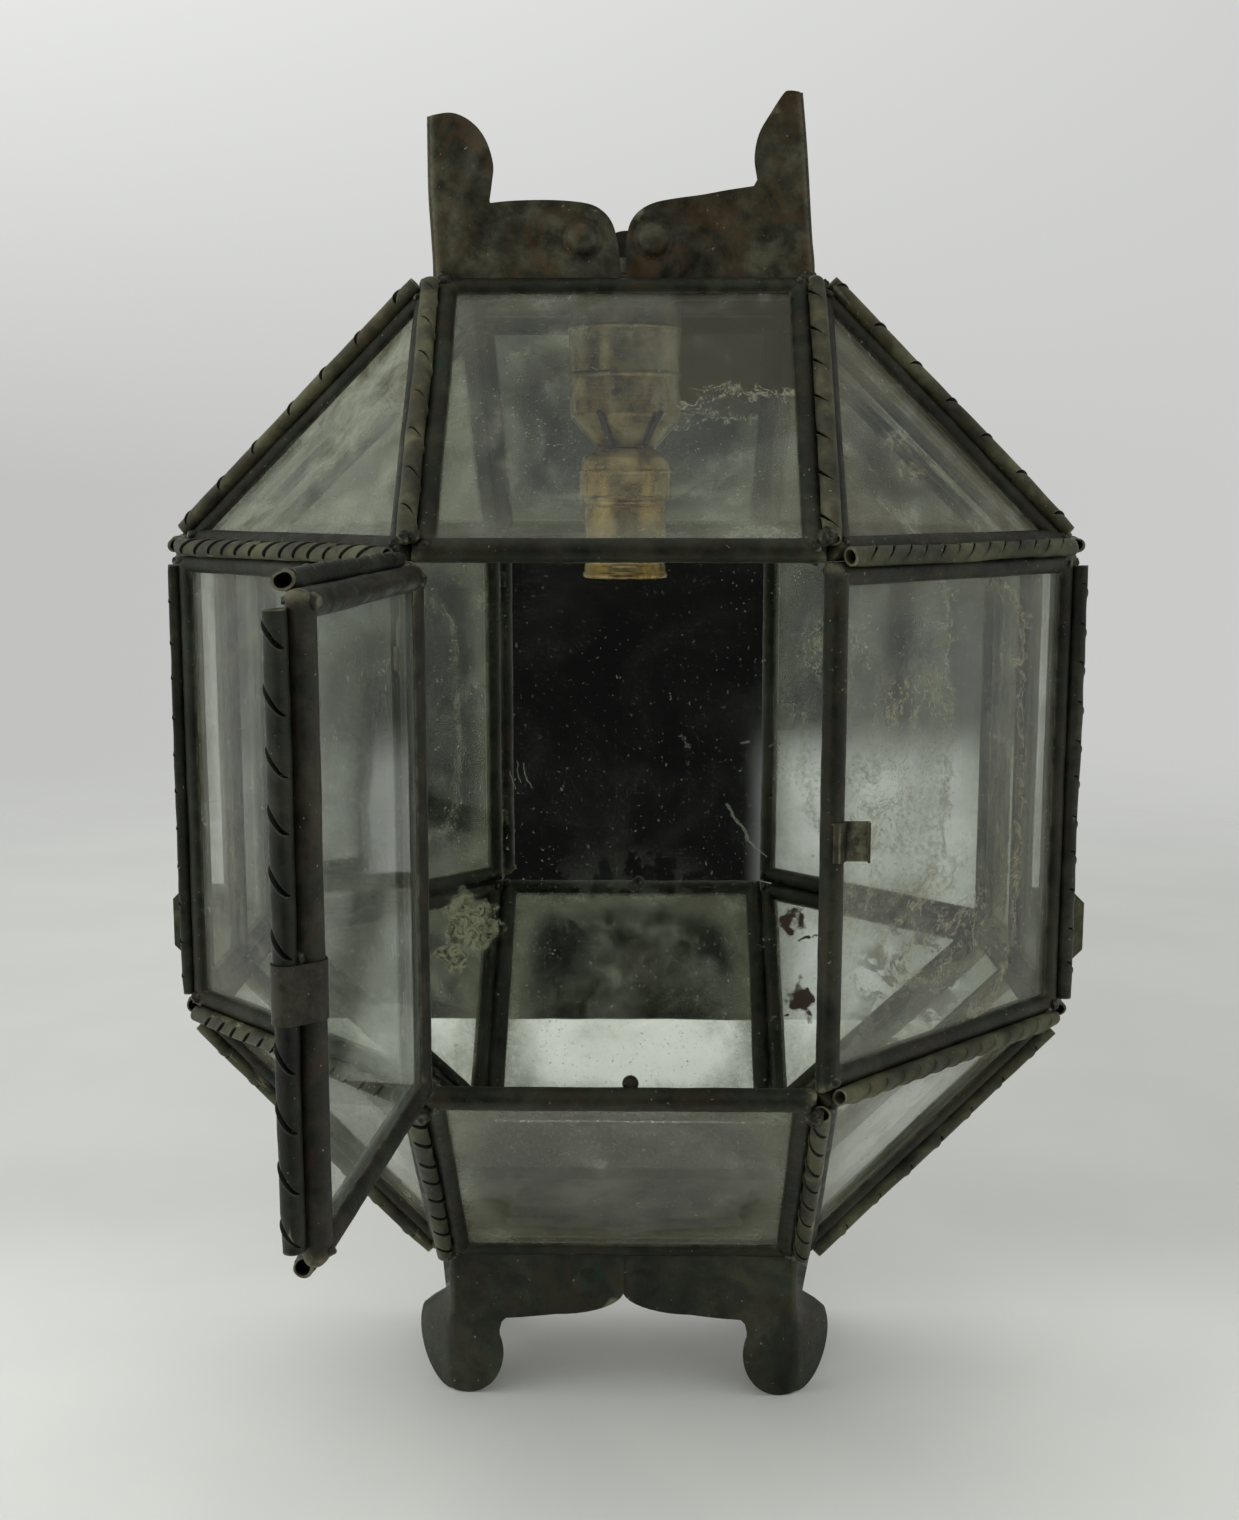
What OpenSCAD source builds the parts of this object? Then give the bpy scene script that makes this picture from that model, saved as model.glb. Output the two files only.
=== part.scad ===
// Half lantern for a wall: a glazed half octagon with sloping roof and lower panes on a flat mirrored back.
// X is to the right, +Y is into the wall, Z is up. The origin is the middle of the back plate's wall face.

/* [Body] */
// Width of the door opening, seam to seam
face_w = 120; // [110:1:130]
// Height of the upright faces, seam to seam
face_h = 159; // [140:1:180]
// How far each corner face runs sideways and back
corner_run = 89; // [80:1:95]
// Depth of each side face, from its corner to the wall
side_d = 60; // [50:1:70]
// Height of the sloping roof panes
roof_rise = 87; // [75:1:100]
// Height of the sloping lower panes
lower_drop = 86; // [75:1:100]
// Width of the neck under the crown and over the skirt
neck_w = 122; // [112:1:130]
// Depth of the crown, from the wall
crown_d = 66; // [60:1:72]
// Depth of the skirt, from the wall
skirt_d = 68; // [60:1:72]

/* [Frames] */
// Outer diameter of the folded frame channel
tube_d = 7.2; // [6:0.1:7.4]
// Sheet thickness of the frame channel
tube_wall = 0.8; // [0.6:0.1:1]
// Distance from a seam to the centre of its channel
tube_inset = 3.95; // [3.95:0.05:4.5]
// Thickness of the glass
glass_t = 2; // [1.6:0.1:2.4]
// How far the glass reaches into its channel
glass_bite = 2; // [1.5:0.1:2.4]
// Outer diameter of the rolled strips over the seams
strip_d = 5.8; // [5:0.1:6.2]
// Sheet thickness of the rolled strips
strip_wall = 0.7; // [0.5:0.1:0.9]
// How far each strip stops short of a corner
strip_end = 5; // [5:0.5:8]

/* [Back] */
// Sheet thickness of the back plate
plate_t = 1; // [0.8:0.1:1.4]
// Thickness of the mirror
mirror_t = 3; // [2:0.5:3]
// Reach of each wall ear past the back plate
ear_reach = 21; // [18:1:26]
// Height of each wall ear
ear_h = 30; // [24:1:36]
// Diameter of the screw hole in each ear
ear_hole_d = 4.4; // [3:0.2:5]
// Diameter of the hanging hole
hang_hole_d = 5; // [4:0.5:6]

/* [Crown and skirt] */
// Sheet thickness of the crown and skirt
sheet_t = 0.8; // [0.6:0.1:1]
// Height of the crown's collar
collar_h = 25; // [20:1:30]
// Height of the skirt's band
band_h = 24; // [20:1:28]
// Height of the skirt and its feet
leg_h = 54; // [50:1:60]
// Angle that the outer leaf of each front foot is splayed from the side
splay = 30; // [20:1:40]

/* [Lamp] */
// Distance of the lamp's axis from the wall
lamp_d = 33; // [30:1:36]
// Outer radius of the brass cup
cup_r = 19.3; // [17:0.1:21]
// Length of the straight part of the cup
cup_l = 43; // [38:1:48]
// Inner radius of the socket's screw shell
socket_r = 13.05; // [13.05:0.05:13.3]
// Outer radius of the socket's cap
cap_r = 16.4; // [16:0.1:17]
// Length of the socket's shell
shell_l = 34; // [30:1:38]

/* [Door] */
// Angle that the door stands open
door_open = 95; // [0:1:150]
// Radius of the hinge pins
pin_r = 1; // [0.8:0.1:1.2]
// Radial clearance of the hinge pins
pin_gap = 0.06; // [0.03:0.01:0.1]
// Height of each hinge above and below the middle
hinge_z = 55; // [40:1:60]

/* [Hidden] */
SIDES = ["left", "right"];
PANES = ["corner_roof", "side_roof", "corner", "side", "corner_lower", "side_lower"];
$fn = 48;
iron = "#3c3b30";
moss = "#5a5c44";
brass = "#b08d45";
pane_tint = [0.75, 0.8, 0.74, 0.35];

tube_r = tube_d / 2;
strip_r = strip_d / 2;
half_w = face_w / 2;
half_neck = neck_w / 2;
front_y = -(side_d + corner_run);
out_x = half_w + corner_run;
rear_y = -plate_t;
header_z = face_h / 2;
sill_z = -face_h / 2;
crown_z = header_z + roof_rise;
base_z = sill_z - lower_drop;
sole_z = base_z - leg_h;
// Plates stand this far off the neck's seams, clear of the channels
plate_gap = 1;
touch = 0.02;
// Each channel stops this far short of its mitre
mitre_gap = 0.02;
// Clearances round the closed door
door_gap = 0.6;
free_gap = 1.4;
clip_t = 0.5;
// A point well inside the lantern, which outward normals point away from
inside = [0, -side_d, 0];

// ---- Seam corners on the left: out is beside the wall face, in is beside the door
function out_corner(z) = [-out_x, -side_d, z];
function in_corner(z) = [-half_w, front_y, z];
function rear_corner(z) = [-out_x, rear_y, z];
function neck_corner(z, d) = [-half_neck, -d, z];
function neck_rear(z) = [-half_neck, rear_y, z];
function other(p) = [-p[0], p[1], p[2]];

// ---- Faces between seams
function front_slope(z, neck_z, d) =
    [in_corner(z), other(in_corner(z)), other(neck_corner(neck_z, d)), neck_corner(neck_z, d)];
function corner_slope(z, neck_z, d) = [out_corner(z), in_corner(z), neck_corner(neck_z, d)];
function side_slope(z, neck_z, d) = [rear_corner(z), out_corner(z), neck_corner(neck_z, d), neck_rear(neck_z)];
front_roof = front_slope(header_z, crown_z, crown_d);
front_lower = front_slope(sill_z, base_z, skirt_d);
corner_roof = corner_slope(header_z, crown_z, crown_d);
corner_lower = corner_slope(sill_z, base_z, skirt_d);
side_roof = side_slope(header_z, crown_z, crown_d);
side_lower = side_slope(sill_z, base_z, skirt_d);
corner_face = [out_corner(sill_z), in_corner(sill_z), in_corner(header_z), out_corner(header_z)];
side_face = [rear_corner(sill_z), out_corner(sill_z), out_corner(header_z), rear_corner(header_z)];
front_face = [in_corner(sill_z), other(in_corner(sill_z)), other(in_corner(header_z)), in_corner(header_z)];
// The door's own seam lines, smaller than the opening by its clearances
door_face = [
    [-half_w + door_gap, front_y, sill_z + door_gap],
    [half_w - free_gap, front_y, sill_z + door_gap],
    [half_w - free_gap, front_y, header_z - door_gap],
    [-half_w + door_gap, front_y, header_z - door_gap],
];

// ---- Vectors and flat polygons
function unit(v) = v / norm(v);
function face_x(p) = unit(p[1] - p[0]);
function face_n(p) = unit(cross(p[1] - p[0], p[2] - p[0]));
function face_y(p) = cross(face_n(p), face_x(p));
function flat(p) = [for (q = p) [(q - p[0]) * face_x(p), (q - p[0]) * face_y(p)]];
function out_n(p) = face_n(p) * ((p[0] - inside) * face_n(p) > 0 ? 1 : -1);
function side_n(a, b) = [-unit(b - a)[1], unit(b - a)[0]];
// A convex polygon, listed anticlockwise, with every side moved in by d
function inset(p, d) = [
    for (i = [0:len(p) - 1])
        let (n1 = side_n(p[(i + len(p) - 1) % len(p)], p[i]), n2 = side_n(p[i], p[(i + 1) % len(p)]))
            p[i] + d * (n1 + n2) / (1 + n1 * n2)
];
function arc(cx, cy, rx, ry, from, to, steps) =
    [for (i = [0:steps]) let (t = from + (to - from) * i / steps) [cx + rx * cos(t), cy + ry * sin(t)]];

module on_face(p) {
    x = face_x(p);
    y = face_y(p);
    n = face_n(p);
    o = p[0];
    multmatrix([[x[0], y[0], n[0], o[0]], [x[1], y[1], n[1], o[1]], [x[2], y[2], n[2], o[2]], [0, 0, 0, 1]])
        children();
}

// A round rod, or with a wall a tube, from a to b
module rod(a, b, r, wall = 0) {
    way = b - a;
    translate(a)
        rotate([0, acos(way[2] / norm(way)), atan2(way[1], way[0])])
            difference() {
                cylinder(r = r, h = norm(way));
                if (wall > 0)
                    translate([0, 0, -1])
                        cylinder(r = r - wall, h = norm(way) + 2);
            }
}

// ---- Panes: channels mitred at the corners, with a slot for the glass, and the glass
module pane_frame(face) {
    p = flat(face);
    axis = inset(p, tube_inset);
    inner = inset(p, 2 * tube_inset + 1);
    on_face(face)
        for (i = [0:len(p) - 1]) {
            j = (i + 1) % len(p);
            along = unit(axis[j] - axis[i]);
            a = axis[i] - along * tube_d;
            b = axis[j] + along * tube_d;
            cut = along * mitre_gap;
            difference() {
                intersection() {
                    rod([a[0], a[1], 0], [b[0], b[1], 0], tube_r, tube_wall);
                    linear_extrude(tube_d + 2, center = true)
                        polygon([p[i] + cut, p[j] - cut, inner[j] - cut, inner[i] + cut]);
                }
                linear_extrude(glass_t + 0.2, center = true)
                    polygon(inset(p, tube_inset + tube_r - glass_bite - 0.2));
            }
        }
}

module pane_glass(face) {
    on_face(face)
        linear_extrude(glass_t, center = true)
            polygon(inset(flat(face), tube_inset + tube_r - glass_bite));
}

module pane(s, face, part) {
    mirror([s == "right" ? 1 : 0, 0, 0])
        if (part == "frame")
            color(iron) pane_frame(face);
        else
            color(pane_tint) pane_glass(face);
}

// ---- Rolled strips that cover the seams
// How far out of a seam a strip lies, so that it rests on both channels
function strip_out(f1, f2) =
    let (half = acos(out_n(f1) * out_n(f2)) / 2)
        sqrt(pow(tube_r + strip_r + touch, 2) - pow(tube_inset * cos(half), 2)) - tube_inset * sin(half);

module strip(a, b, f1, f2, end_a = strip_end, end_b = strip_end) {
    way = unit(b - a);
    lift = unit(out_n(f1) + out_n(f2)) * strip_out(f1, f2);
    rod(a + lift + way * end_a, b + lift - way * end_b, strip_r, strip_wall);
}

module both_sides() {
    children();
    mirror([1, 0, 0]) children();
}

module girdle_strips(z, corner_f, side_f) {
    color(moss)
        both_sides() {
            strip(out_corner(z), in_corner(z), corner_face, corner_f);
            strip(rear_corner(z), out_corner(z), side_face, side_f, 0.5, strip_end);
        }
}

module hip_strips(z, neck_z, d, front_f, corner_f, side_f) {
    color(moss)
        both_sides() {
            strip(in_corner(z), neck_corner(neck_z, d), front_f, corner_f);
            strip(out_corner(z), neck_corner(neck_z, d), corner_f, side_f);
        }
}

module corner_strips() {
    color(moss)
        both_sides()
            strip(out_corner(sill_z), out_corner(header_z), corner_face, side_face);
}

// ---- Back: plate, mirror and ears, drawn in X and Z
module upright(y, t) {
    translate([0, y + t, 0])
        rotate([90, 0, 0])
            linear_extrude(t)
                children();
}

back_outline = [
    [-half_neck, base_z], [half_neck, base_z], [out_x, sill_z], [out_x, header_z],
    [half_neck, crown_z], [-half_neck, crown_z], [-out_x, header_z], [-out_x, sill_z],
];
hang_z = crown_z + 13;
ear_z = sill_z + ear_h / 2;
ear_hole_x = out_x + 14;

module back_plate() {
    tab_w = 24;
    color(iron)
        difference() {
            union() {
                upright(-plate_t, plate_t)
                    polygon(inset(back_outline, -tube_r));
                translate([-tab_w / 2, -plate_t, crown_z])
                    cube([tab_w, plate_t, hang_z - crown_z]);
                translate([0, 0, hang_z])
                    rotate([90, 0, 0])
                        cylinder(d = tab_w, h = plate_t);
            }
            translate([0, 1, hang_z])
                rotate([90, 0, 0])
                    cylinder(d = hang_hole_d, h = plate_t + 2);
        }
}

module mirror_pane() {
    color("#8d9794")
        upright(-plate_t - mirror_t - 0.1, mirror_t)
            polygon(inset(back_outline, tube_r + 1));
}

module wall_ears() {
    start = out_x + tube_r + touch;
    end = start + ear_reach;
    cut = 6;
    color(moss)
        both_sides()
            difference() {
                upright(-plate_t, plate_t)
                    polygon([
                        [start, ear_z - ear_h / 2], [end - cut, ear_z - ear_h / 2],
                        [end, ear_z - ear_h / 2 + cut], [end, ear_z + ear_h / 2 - cut],
                        [end - cut, ear_z + ear_h / 2], [start, ear_z + ear_h / 2],
                    ]);
                translate([ear_hole_x, 1, ear_z])
                    rotate([90, 0, 0])
                        cylinder(d = ear_hole_d, h = plate_t + 2);
            }
}

// ---- Plates across the neck; the upper one has a hole for the lamp's nipple
module neck_plate(z, d) {
    translate([-half_neck, -d, z])
        cube([neck_w, d - plate_t - 0.1, plate_t]);
}

module top_plate() {
    color(iron)
        difference() {
            neck_plate(crown_z + plate_gap, crown_d);
            translate([0, -lamp_d, crown_z + plate_gap - 1])
                cylinder(r = nipple_r + 0.3, h = plate_t + 2);
        }
}

module base_plate() {
    color(iron)
        neck_plate(base_z - plate_gap - plate_t, skirt_d);
}

// ---- Crown: two folded sheets, each with a tall leaf at its corner
// Outline from the corner along the collar: l is its length, and the leaf's head is a part ellipse
function crown_outline(l, head_u, head_v, head_rx, head_ry) = concat(
    [[0, 0], [l, 0]],
    arc(l - 10, collar_h - 17, 10, 17, 0, 90, 8),
    [[head_u + head_rx + 2, collar_h], [head_u + head_rx - 1.5, collar_h - 1]],
    arc(head_u, head_v, head_rx, head_ry, -38, 90, 14),
    [[0, head_v + head_ry]]
);

// A flange on the front and one along the side, folded at the corner, with a domed boss
module crown_piece(head_u, head_v, head_rx, head_ry, boss_u) {
    z = crown_z + plate_gap;
    color(iron) {
        translate([-half_neck - sheet_t, -crown_d, z])
            rotate([90, 0, 0])
                linear_extrude(sheet_t)
                    polygon(crown_outline(half_neck + sheet_t - 0.6, head_u, head_v, head_rx, head_ry));
        translate([-half_neck - sheet_t, -crown_d - sheet_t, z])
            rotate([90, 0, 90])
                linear_extrude(sheet_t)
                    polygon(crown_outline(crown_d + sheet_t - plate_t - 0.2, head_u, head_v, head_rx, head_ry));
        boss([-half_neck + boss_u, -crown_d - sheet_t, z + collar_h / 2], 4.8, 1.6);
    }
}

// A shallow dome of radius r and height h on a front flange
module boss(at, r, h) {
    ball = (r * r + h * h) / (2 * h);
    translate(at)
        intersection() {
            translate([0, ball - h, 0]) sphere(r = ball, $fn = 64);
            translate([-r, -h - 1, -r]) cube([2 * r, h + 1.2, 2 * r]);
        }
}

// ---- Skirt: two folded sheets, each ending in a round-leaved foot at its corner
leaf_u = 5;
leaf_rx = 13;
leaf_ry = 16;
leaf_v = leaf_ry - leg_h + plate_gap;
// Where the leaf's ellipse crosses its corner
leaf_cut = acos(-leaf_u / leaf_rx);
function leaf_outline() = concat(
    [[0, 0], [leaf_u + leaf_rx - 2, 0], [leaf_u + leaf_rx - 2, -band_h]],
    arc(leaf_u, leaf_v, leaf_rx, leaf_ry, 45, -leaf_cut, 18)
);

module skirt_piece(boss_u) {
    z = base_z - plate_gap;
    length = half_neck + sheet_t - 0.6;
    color(iron) {
        translate([-half_neck - sheet_t, -skirt_d, z])
            rotate([90, 0, 0])
                linear_extrude(sheet_t) {
                    polygon(leaf_outline());
                    polygon(concat([[0, -band_h], [0, 0], [length, 0]], arc(length - 22, -14, 22, band_h - 14, 0, -90, 10)));
                }
        translate([-half_neck - sheet_t, -skirt_d - sheet_t, z - band_h])
            cube([sheet_t, skirt_d + sheet_t - plate_t - 0.2, band_h]);
        translate([-half_neck - sheet_t, -skirt_d - sheet_t, z])
            rotate([90, 0, 90 + splay])
                linear_extrude(sheet_t)
                    intersection() {
                        polygon(leaf_outline());
                        translate([0, -leg_h]) square([leaf_u + leaf_rx + 1, leg_h - band_h]);
                    }
        boss([-half_neck + boss_u, -skirt_d - sheet_t, z - 12], 4.6, 1.4);
    }
}

module rear_feet() {
    color(iron)
        both_sides()
            translate([-half_neck, 0, 0])
                upright(-plate_t, plate_t)
                    polygon(concat(
                        [[-2, base_z - tube_r - touch], [-2, base_z - band_h]],
                        [for (q = arc(leaf_u, sole_z + leaf_ry, leaf_rx, leaf_ry, 130, 410, 28)) q],
                        [[16, base_z - band_h], [16, base_z - tube_r - touch]]
                    ));
}

// ---- Lamp: everything hangs on one hollow nipple under the top plate
lamp_top = crown_z + plate_gap;
cup_end = cup_l + 10.5;
nipple_r = 4.9;
cap_l = 17.6;
shell_r = socket_r + 1.2;

module on_lamp(down) {
    translate([0, -lamp_d, lamp_top - down]) children();
}

module canopy_cup() {
    wall = 0.8;
    hole = nipple_r + 0.3;
    bead = 29;
    color(brass)
        on_lamp(0)
            rotate_extrude()
                polygon([
                    [cup_r, -touch], [cup_r, -bead + 0.6], [cup_r + 0.5, -bead], [cup_r, -bead - 0.6],
                    [cup_r, -cup_l], [10, -cup_end], [hole, -cup_end], [hole, -cup_end + wall],
                    [9.6, -cup_end + wall], [cup_r - wall, -cup_l + 0.4], [cup_r - wall, -touch],
                ]);
}

module lamp_nipple() {
    reach = 10;
    color("#8a8478")
        difference() {
            union() {
                on_lamp(cup_end + 2.5)
                    cylinder(r = nipple_r, h = cup_end + 2.5 + reach);
                on_lamp(-plate_t - touch)
                    cylinder(r = 9, h = 4, $fn = 6);
            }
            on_lamp(cup_end + 4)
                cylinder(r = 3.6, h = cup_end + reach + 8);
        }
}

module socket_cap() {
    wall = 0.7;
    hole = nipple_r + 0.1;
    top = cup_end + 0.3;
    dome = 7.4;
    color(brass)
        on_lamp(top)
            rotate_extrude()
                polygon(concat(
                    [[hole, 0]],
                    arc(8, -dome, cap_r - 9, dome, 90, 0, 8),
                    [[cap_r, -dome], [cap_r, -cap_l], [cap_r - wall, -cap_l], [cap_r - wall, -dome - wall]],
                    arc(8, -dome - wall, cap_r - 9 - wall, dome, 0, 90, 8),
                    [[hole, -wall]]
                ));
}

shell_top = cup_end + 11;
shell_end = shell_top + shell_l;
module socket_shell() {
    color(brass)
        on_lamp(0)
            rotate_extrude()
                polygon([
                    [shell_r, -shell_top], [shell_r, -shell_end + 2], [shell_r + 0.6, -shell_end + 1.4],
                    [shell_r + 0.6, -shell_end], [shell_r - 0.5, -shell_end], [shell_r - 0.5, -shell_top],
                ]);
}

insulator_l = 7;
contact_reach = 1.5;
module screw_shell() {
    color("#c9a45c")
        on_lamp(shell_end - 2)
            difference() {
                cylinder(r = socket_r + 0.6, h = shell_l - insulator_l - 2 - contact_reach - 0.1);
                translate([0, 0, -1])
                    cylinder(r = socket_r, h = shell_l);
            }
}

module socket_insulator() {
    color("#2a2622")
        on_lamp(shell_top + insulator_l)
            union() {
                cylinder(r = socket_r + 0.6, h = insulator_l);
                translate([0, 0, -contact_reach])
                    cylinder(r = 3.5, h = 2);
            }
}

// Short leads from the cup's rim down to the socket's cap, each beside the funnel
module wire_leads() {
    wire_r = 0.9;
    color("#1c1a18")
        on_lamp(0)
            for (angle = [-113, -55])
                rotate([0, 0, angle])
                    rod([cup_r + 2.5, 0, 1 - cup_l], [12, 0, 0.5 - cup_end], wire_r);
}

// ---- Door hinge, in plan: the pin stands outside the left front corner
jamb_axis = [-half_w - tube_inset * sin(45), front_y + tube_inset * sin(45)];
door_axis = [-half_w + door_gap + tube_inset, front_y];
pin_axis = [-half_w - 4.2 * sin(22.5), front_y - 4.2 * cos(22.5)];
knuckle_l = 7;
knuckle_r = pin_r + 1.1;

// A knuckle round the pin, with a strap on the channel whose centre is at axis
module knuckle(axis, z) {
    reach = norm(pin_axis - axis);
    angle = atan2(pin_axis[1] - axis[1], pin_axis[0] - axis[0]);
    strap_t = 0.6;
    translate([0, 0, z])
        difference() {
            union() {
                translate(pin_axis) cylinder(r = knuckle_r, h = knuckle_l);
                translate(axis)
                    rotate([0, 0, angle]) {
                        intersection() {
                            cylinder(r = tube_r + strap_t, h = knuckle_l);
                            translate([tube_r * 0.86, -3, 0]) cube([3, 6, knuckle_l]);
                        }
                        translate([tube_r, -0.8, 0]) cube([reach - tube_r, 1.6, knuckle_l]);
                    }
            }
            translate([axis[0], axis[1], -1]) cylinder(r = tube_r + touch, h = knuckle_l + 2);
            translate([pin_axis[0], pin_axis[1], -1]) cylinder(r = pin_r + pin_gap, h = knuckle_l + 2);
        }
}

module jamb_knuckles() {
    color(iron)
        for (z = [-hinge_z - knuckle_l, hinge_z - knuckle_l])
            knuckle(jamb_axis, z);
}

module door_knuckles() {
    color(iron)
        swung()
            for (z = [-hinge_z, hinge_z])
                knuckle(door_axis, z + 0.4);
}

module hinge_pins() {
    head = 0.8;
    color("#6b6a60")
        for (z = [-hinge_z, hinge_z])
            translate([pin_axis[0], pin_axis[1], z - knuckle_l - head - 0.1]) {
                cylinder(r = pin_r, h = 2 * knuckle_l + 2 * head + 0.6);
                cylinder(r = pin_r + 0.6, h = head);
                translate([0, 0, 2 * knuckle_l + head + 0.6]) cylinder(r = pin_r + 0.6, h = head);
            }
}

// ---- Door, drawn closed and then swung open about its pins
module swung() {
    translate([pin_axis[0], pin_axis[1], 0])
        rotate([0, 0, -door_open])
            translate([-pin_axis[0], -pin_axis[1], 0])
                children();
}

// Centre of the strip on the free edge, and how far in front of the face the others lie
free_axis = [half_w - free_gap - tube_inset, front_y];
free_strip = [half_w - 0.4, front_y - 4.35];
door_lift = 3.75;

module door_strips() {
    edge = header_z + 0.8;
    color(moss)
        swung() {
            rod([free_strip[0], free_strip[1], -edge + 6], [free_strip[0], free_strip[1], edge - 6], strip_r, strip_wall);
            for (z = [-edge, edge])
                rod([-half_w + 6, front_y - door_lift, z], [half_w - 5, front_y - door_lift, z], strip_r, strip_wall);
        }
}

// A band folded round the free edge, open towards the glass
module door_clip() {
    height = 14;
    middle = -12.5;
    color(iron)
        swung()
            translate([0, 0, middle - height / 2])
                linear_extrude(height)
                    difference() {
                        hull() {
                            translate(free_axis) circle(r = tube_r + touch + clip_t);
                            translate(free_strip) circle(r = strip_r + touch + clip_t);
                        }
                        hull() {
                            translate(free_axis) circle(r = tube_r + touch);
                            translate(free_strip) circle(r = strip_r + touch);
                        }
                        translate([free_axis[0] - 6, front_y - 1.6]) square([4, 3.2]);
                    }
}

// A folded tab on the right jamb that the clip springs against
module catch_plate() {
    height = 12;
    tab_t = 0.7;
    color(iron)
        translate([-jamb_axis[0], jamb_axis[1], -2.6 - height / 2]) {
            difference() {
                cylinder(r = tube_r + tab_t, h = height);
                translate([0, 0, -1]) cylinder(r = tube_r + touch, h = height + 2);
                translate([-20, -20, -1]) cube([20, 40, height + 2]);
                translate([-1, 0, -1]) cube([20, 20, height + 2]);
            }
            translate([tube_r + touch, -tab_t, 0]) cube([7.5, tab_t, height]);
            translate([tube_r + 6.8, -tab_t - 2.4, 0]) cube([tab_t, 3, height]);
        }
}

// A stud on the sill that the closed door rests against
module door_stop() {
    sill_axis = [front_y + tube_inset * sin(45), sill_z - tube_inset * sin(45)];
    color(moss)
        difference() {
            translate([3.5, front_y + 5.7, sill_axis[1]]) {
                cylinder(r = 1.4, h = 6.4);
                translate([0, 0, 6.4]) sphere(r = 1.4);
            }
            translate([-5, sill_axis[0], sill_axis[1]])
                rotate([0, 90, 0]) cylinder(r = tube_r + 2 * touch, h = 20);
        }
}

back_plate();
mirror_pane();  // mirror
wall_ears();
top_plate();
base_plate();
pane("left", front_roof, "frame");  // front_roof_frame
pane("left", front_roof, "glass");  // front_roof_glass
pane("left", front_lower, "frame");  // front_lower_frame
pane("left", front_lower, "glass");  // front_lower_glass
for (s = SIDES)
    for (part = ["frame", "glass"]) {
        pane(s, corner_roof, part);
        pane(s, side_roof, part);
        pane(s, corner_face, part);
        pane(s, side_face, part);
        pane(s, corner_lower, part);
        pane(s, side_lower, part);
    }
girdle_strips(header_z, corner_roof, side_roof);  // upper_girdle_strips
girdle_strips(sill_z, corner_lower, side_lower);  // lower_girdle_strips
hip_strips(header_z, crown_z, crown_d, front_roof, corner_roof, side_roof);  // roof_hip_strips
hip_strips(sill_z, base_z, skirt_d, front_lower, corner_lower, side_lower);  // lower_hip_strips
corner_strips();
crown_piece(8, 37, 13, 13, 49);  // crown_left
mirror([1, 0, 0]) crown_piece(5, 39, 11.8, 16, 51);  // crown_right
skirt_piece(46);  // skirt_left
mirror([1, 0, 0]) skirt_piece(55);  // skirt_right
rear_feet();
canopy_cup();
lamp_nipple();
socket_cap();
socket_shell();
screw_shell();
socket_insulator();
wire_leads();
jamb_knuckles();
hinge_pins();
catch_plate();
door_stop();
color(iron) swung() pane_frame(door_face);  // door_frame
color(pane_tint) swung() pane_glass(door_face);  // door_glass
door_strips();
door_knuckles();
door_clip();
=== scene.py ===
"""Looks of a half lantern for a wall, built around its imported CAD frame.

Lengths are in metres. The panes, channels and rolled strips are read from the CAD nodes that they
stand for, so every piece lies where the frame says.
"""
import math

import bmesh
import bpy
import numpy as np
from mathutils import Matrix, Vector, geometry, noise


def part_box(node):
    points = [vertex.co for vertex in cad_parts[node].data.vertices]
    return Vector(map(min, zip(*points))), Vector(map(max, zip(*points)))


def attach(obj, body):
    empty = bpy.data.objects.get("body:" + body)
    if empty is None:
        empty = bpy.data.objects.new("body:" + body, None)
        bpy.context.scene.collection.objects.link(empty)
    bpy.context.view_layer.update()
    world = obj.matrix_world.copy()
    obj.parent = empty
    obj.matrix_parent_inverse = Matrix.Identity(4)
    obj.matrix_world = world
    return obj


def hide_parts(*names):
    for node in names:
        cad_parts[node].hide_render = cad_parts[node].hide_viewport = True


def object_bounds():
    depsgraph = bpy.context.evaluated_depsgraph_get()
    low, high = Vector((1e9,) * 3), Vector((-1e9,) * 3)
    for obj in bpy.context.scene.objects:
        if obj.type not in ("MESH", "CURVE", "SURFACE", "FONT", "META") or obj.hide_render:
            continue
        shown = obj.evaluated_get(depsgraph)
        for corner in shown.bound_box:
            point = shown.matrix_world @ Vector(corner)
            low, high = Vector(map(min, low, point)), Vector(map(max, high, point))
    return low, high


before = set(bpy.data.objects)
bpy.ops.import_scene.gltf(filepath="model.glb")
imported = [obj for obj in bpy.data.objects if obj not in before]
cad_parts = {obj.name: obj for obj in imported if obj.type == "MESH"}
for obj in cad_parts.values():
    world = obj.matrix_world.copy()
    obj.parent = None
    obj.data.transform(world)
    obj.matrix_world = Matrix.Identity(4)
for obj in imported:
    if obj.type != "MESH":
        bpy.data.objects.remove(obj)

cad_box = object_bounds()
LOW, HIGH = cad_box

# Without a seed of its own, mathutils' noise_vector differs from run to run
NOISE_SEED = 1
noise.seed_set(NOISE_SEED)

MM = 0.001
# A point well inside the lantern, which outward normals point away from
INSIDE = np.array([0.0, -0.06, 0.0])

TUBE_R = 3.6 * MM
TUBE_WALL = 0.8 * MM
GLASS_T = 2.0 * MM
# The glass reaches this far past the middle of its channel
GLASS_REACH = 1.6 * MM
SHEET_T = 0.8 * MM

PANES = ["corner_roof", "side_roof", "corner", "side", "corner_lower", "side_lower"]
FIXED_PANES = ["front_roof", "front_lower"] + [f"{s}_{p}" for s in ("left", "right") for p in PANES]


# ---------------------------------------------------------------- geometry read from the frame
def unit(v):
    return v / np.linalg.norm(v)


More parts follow.
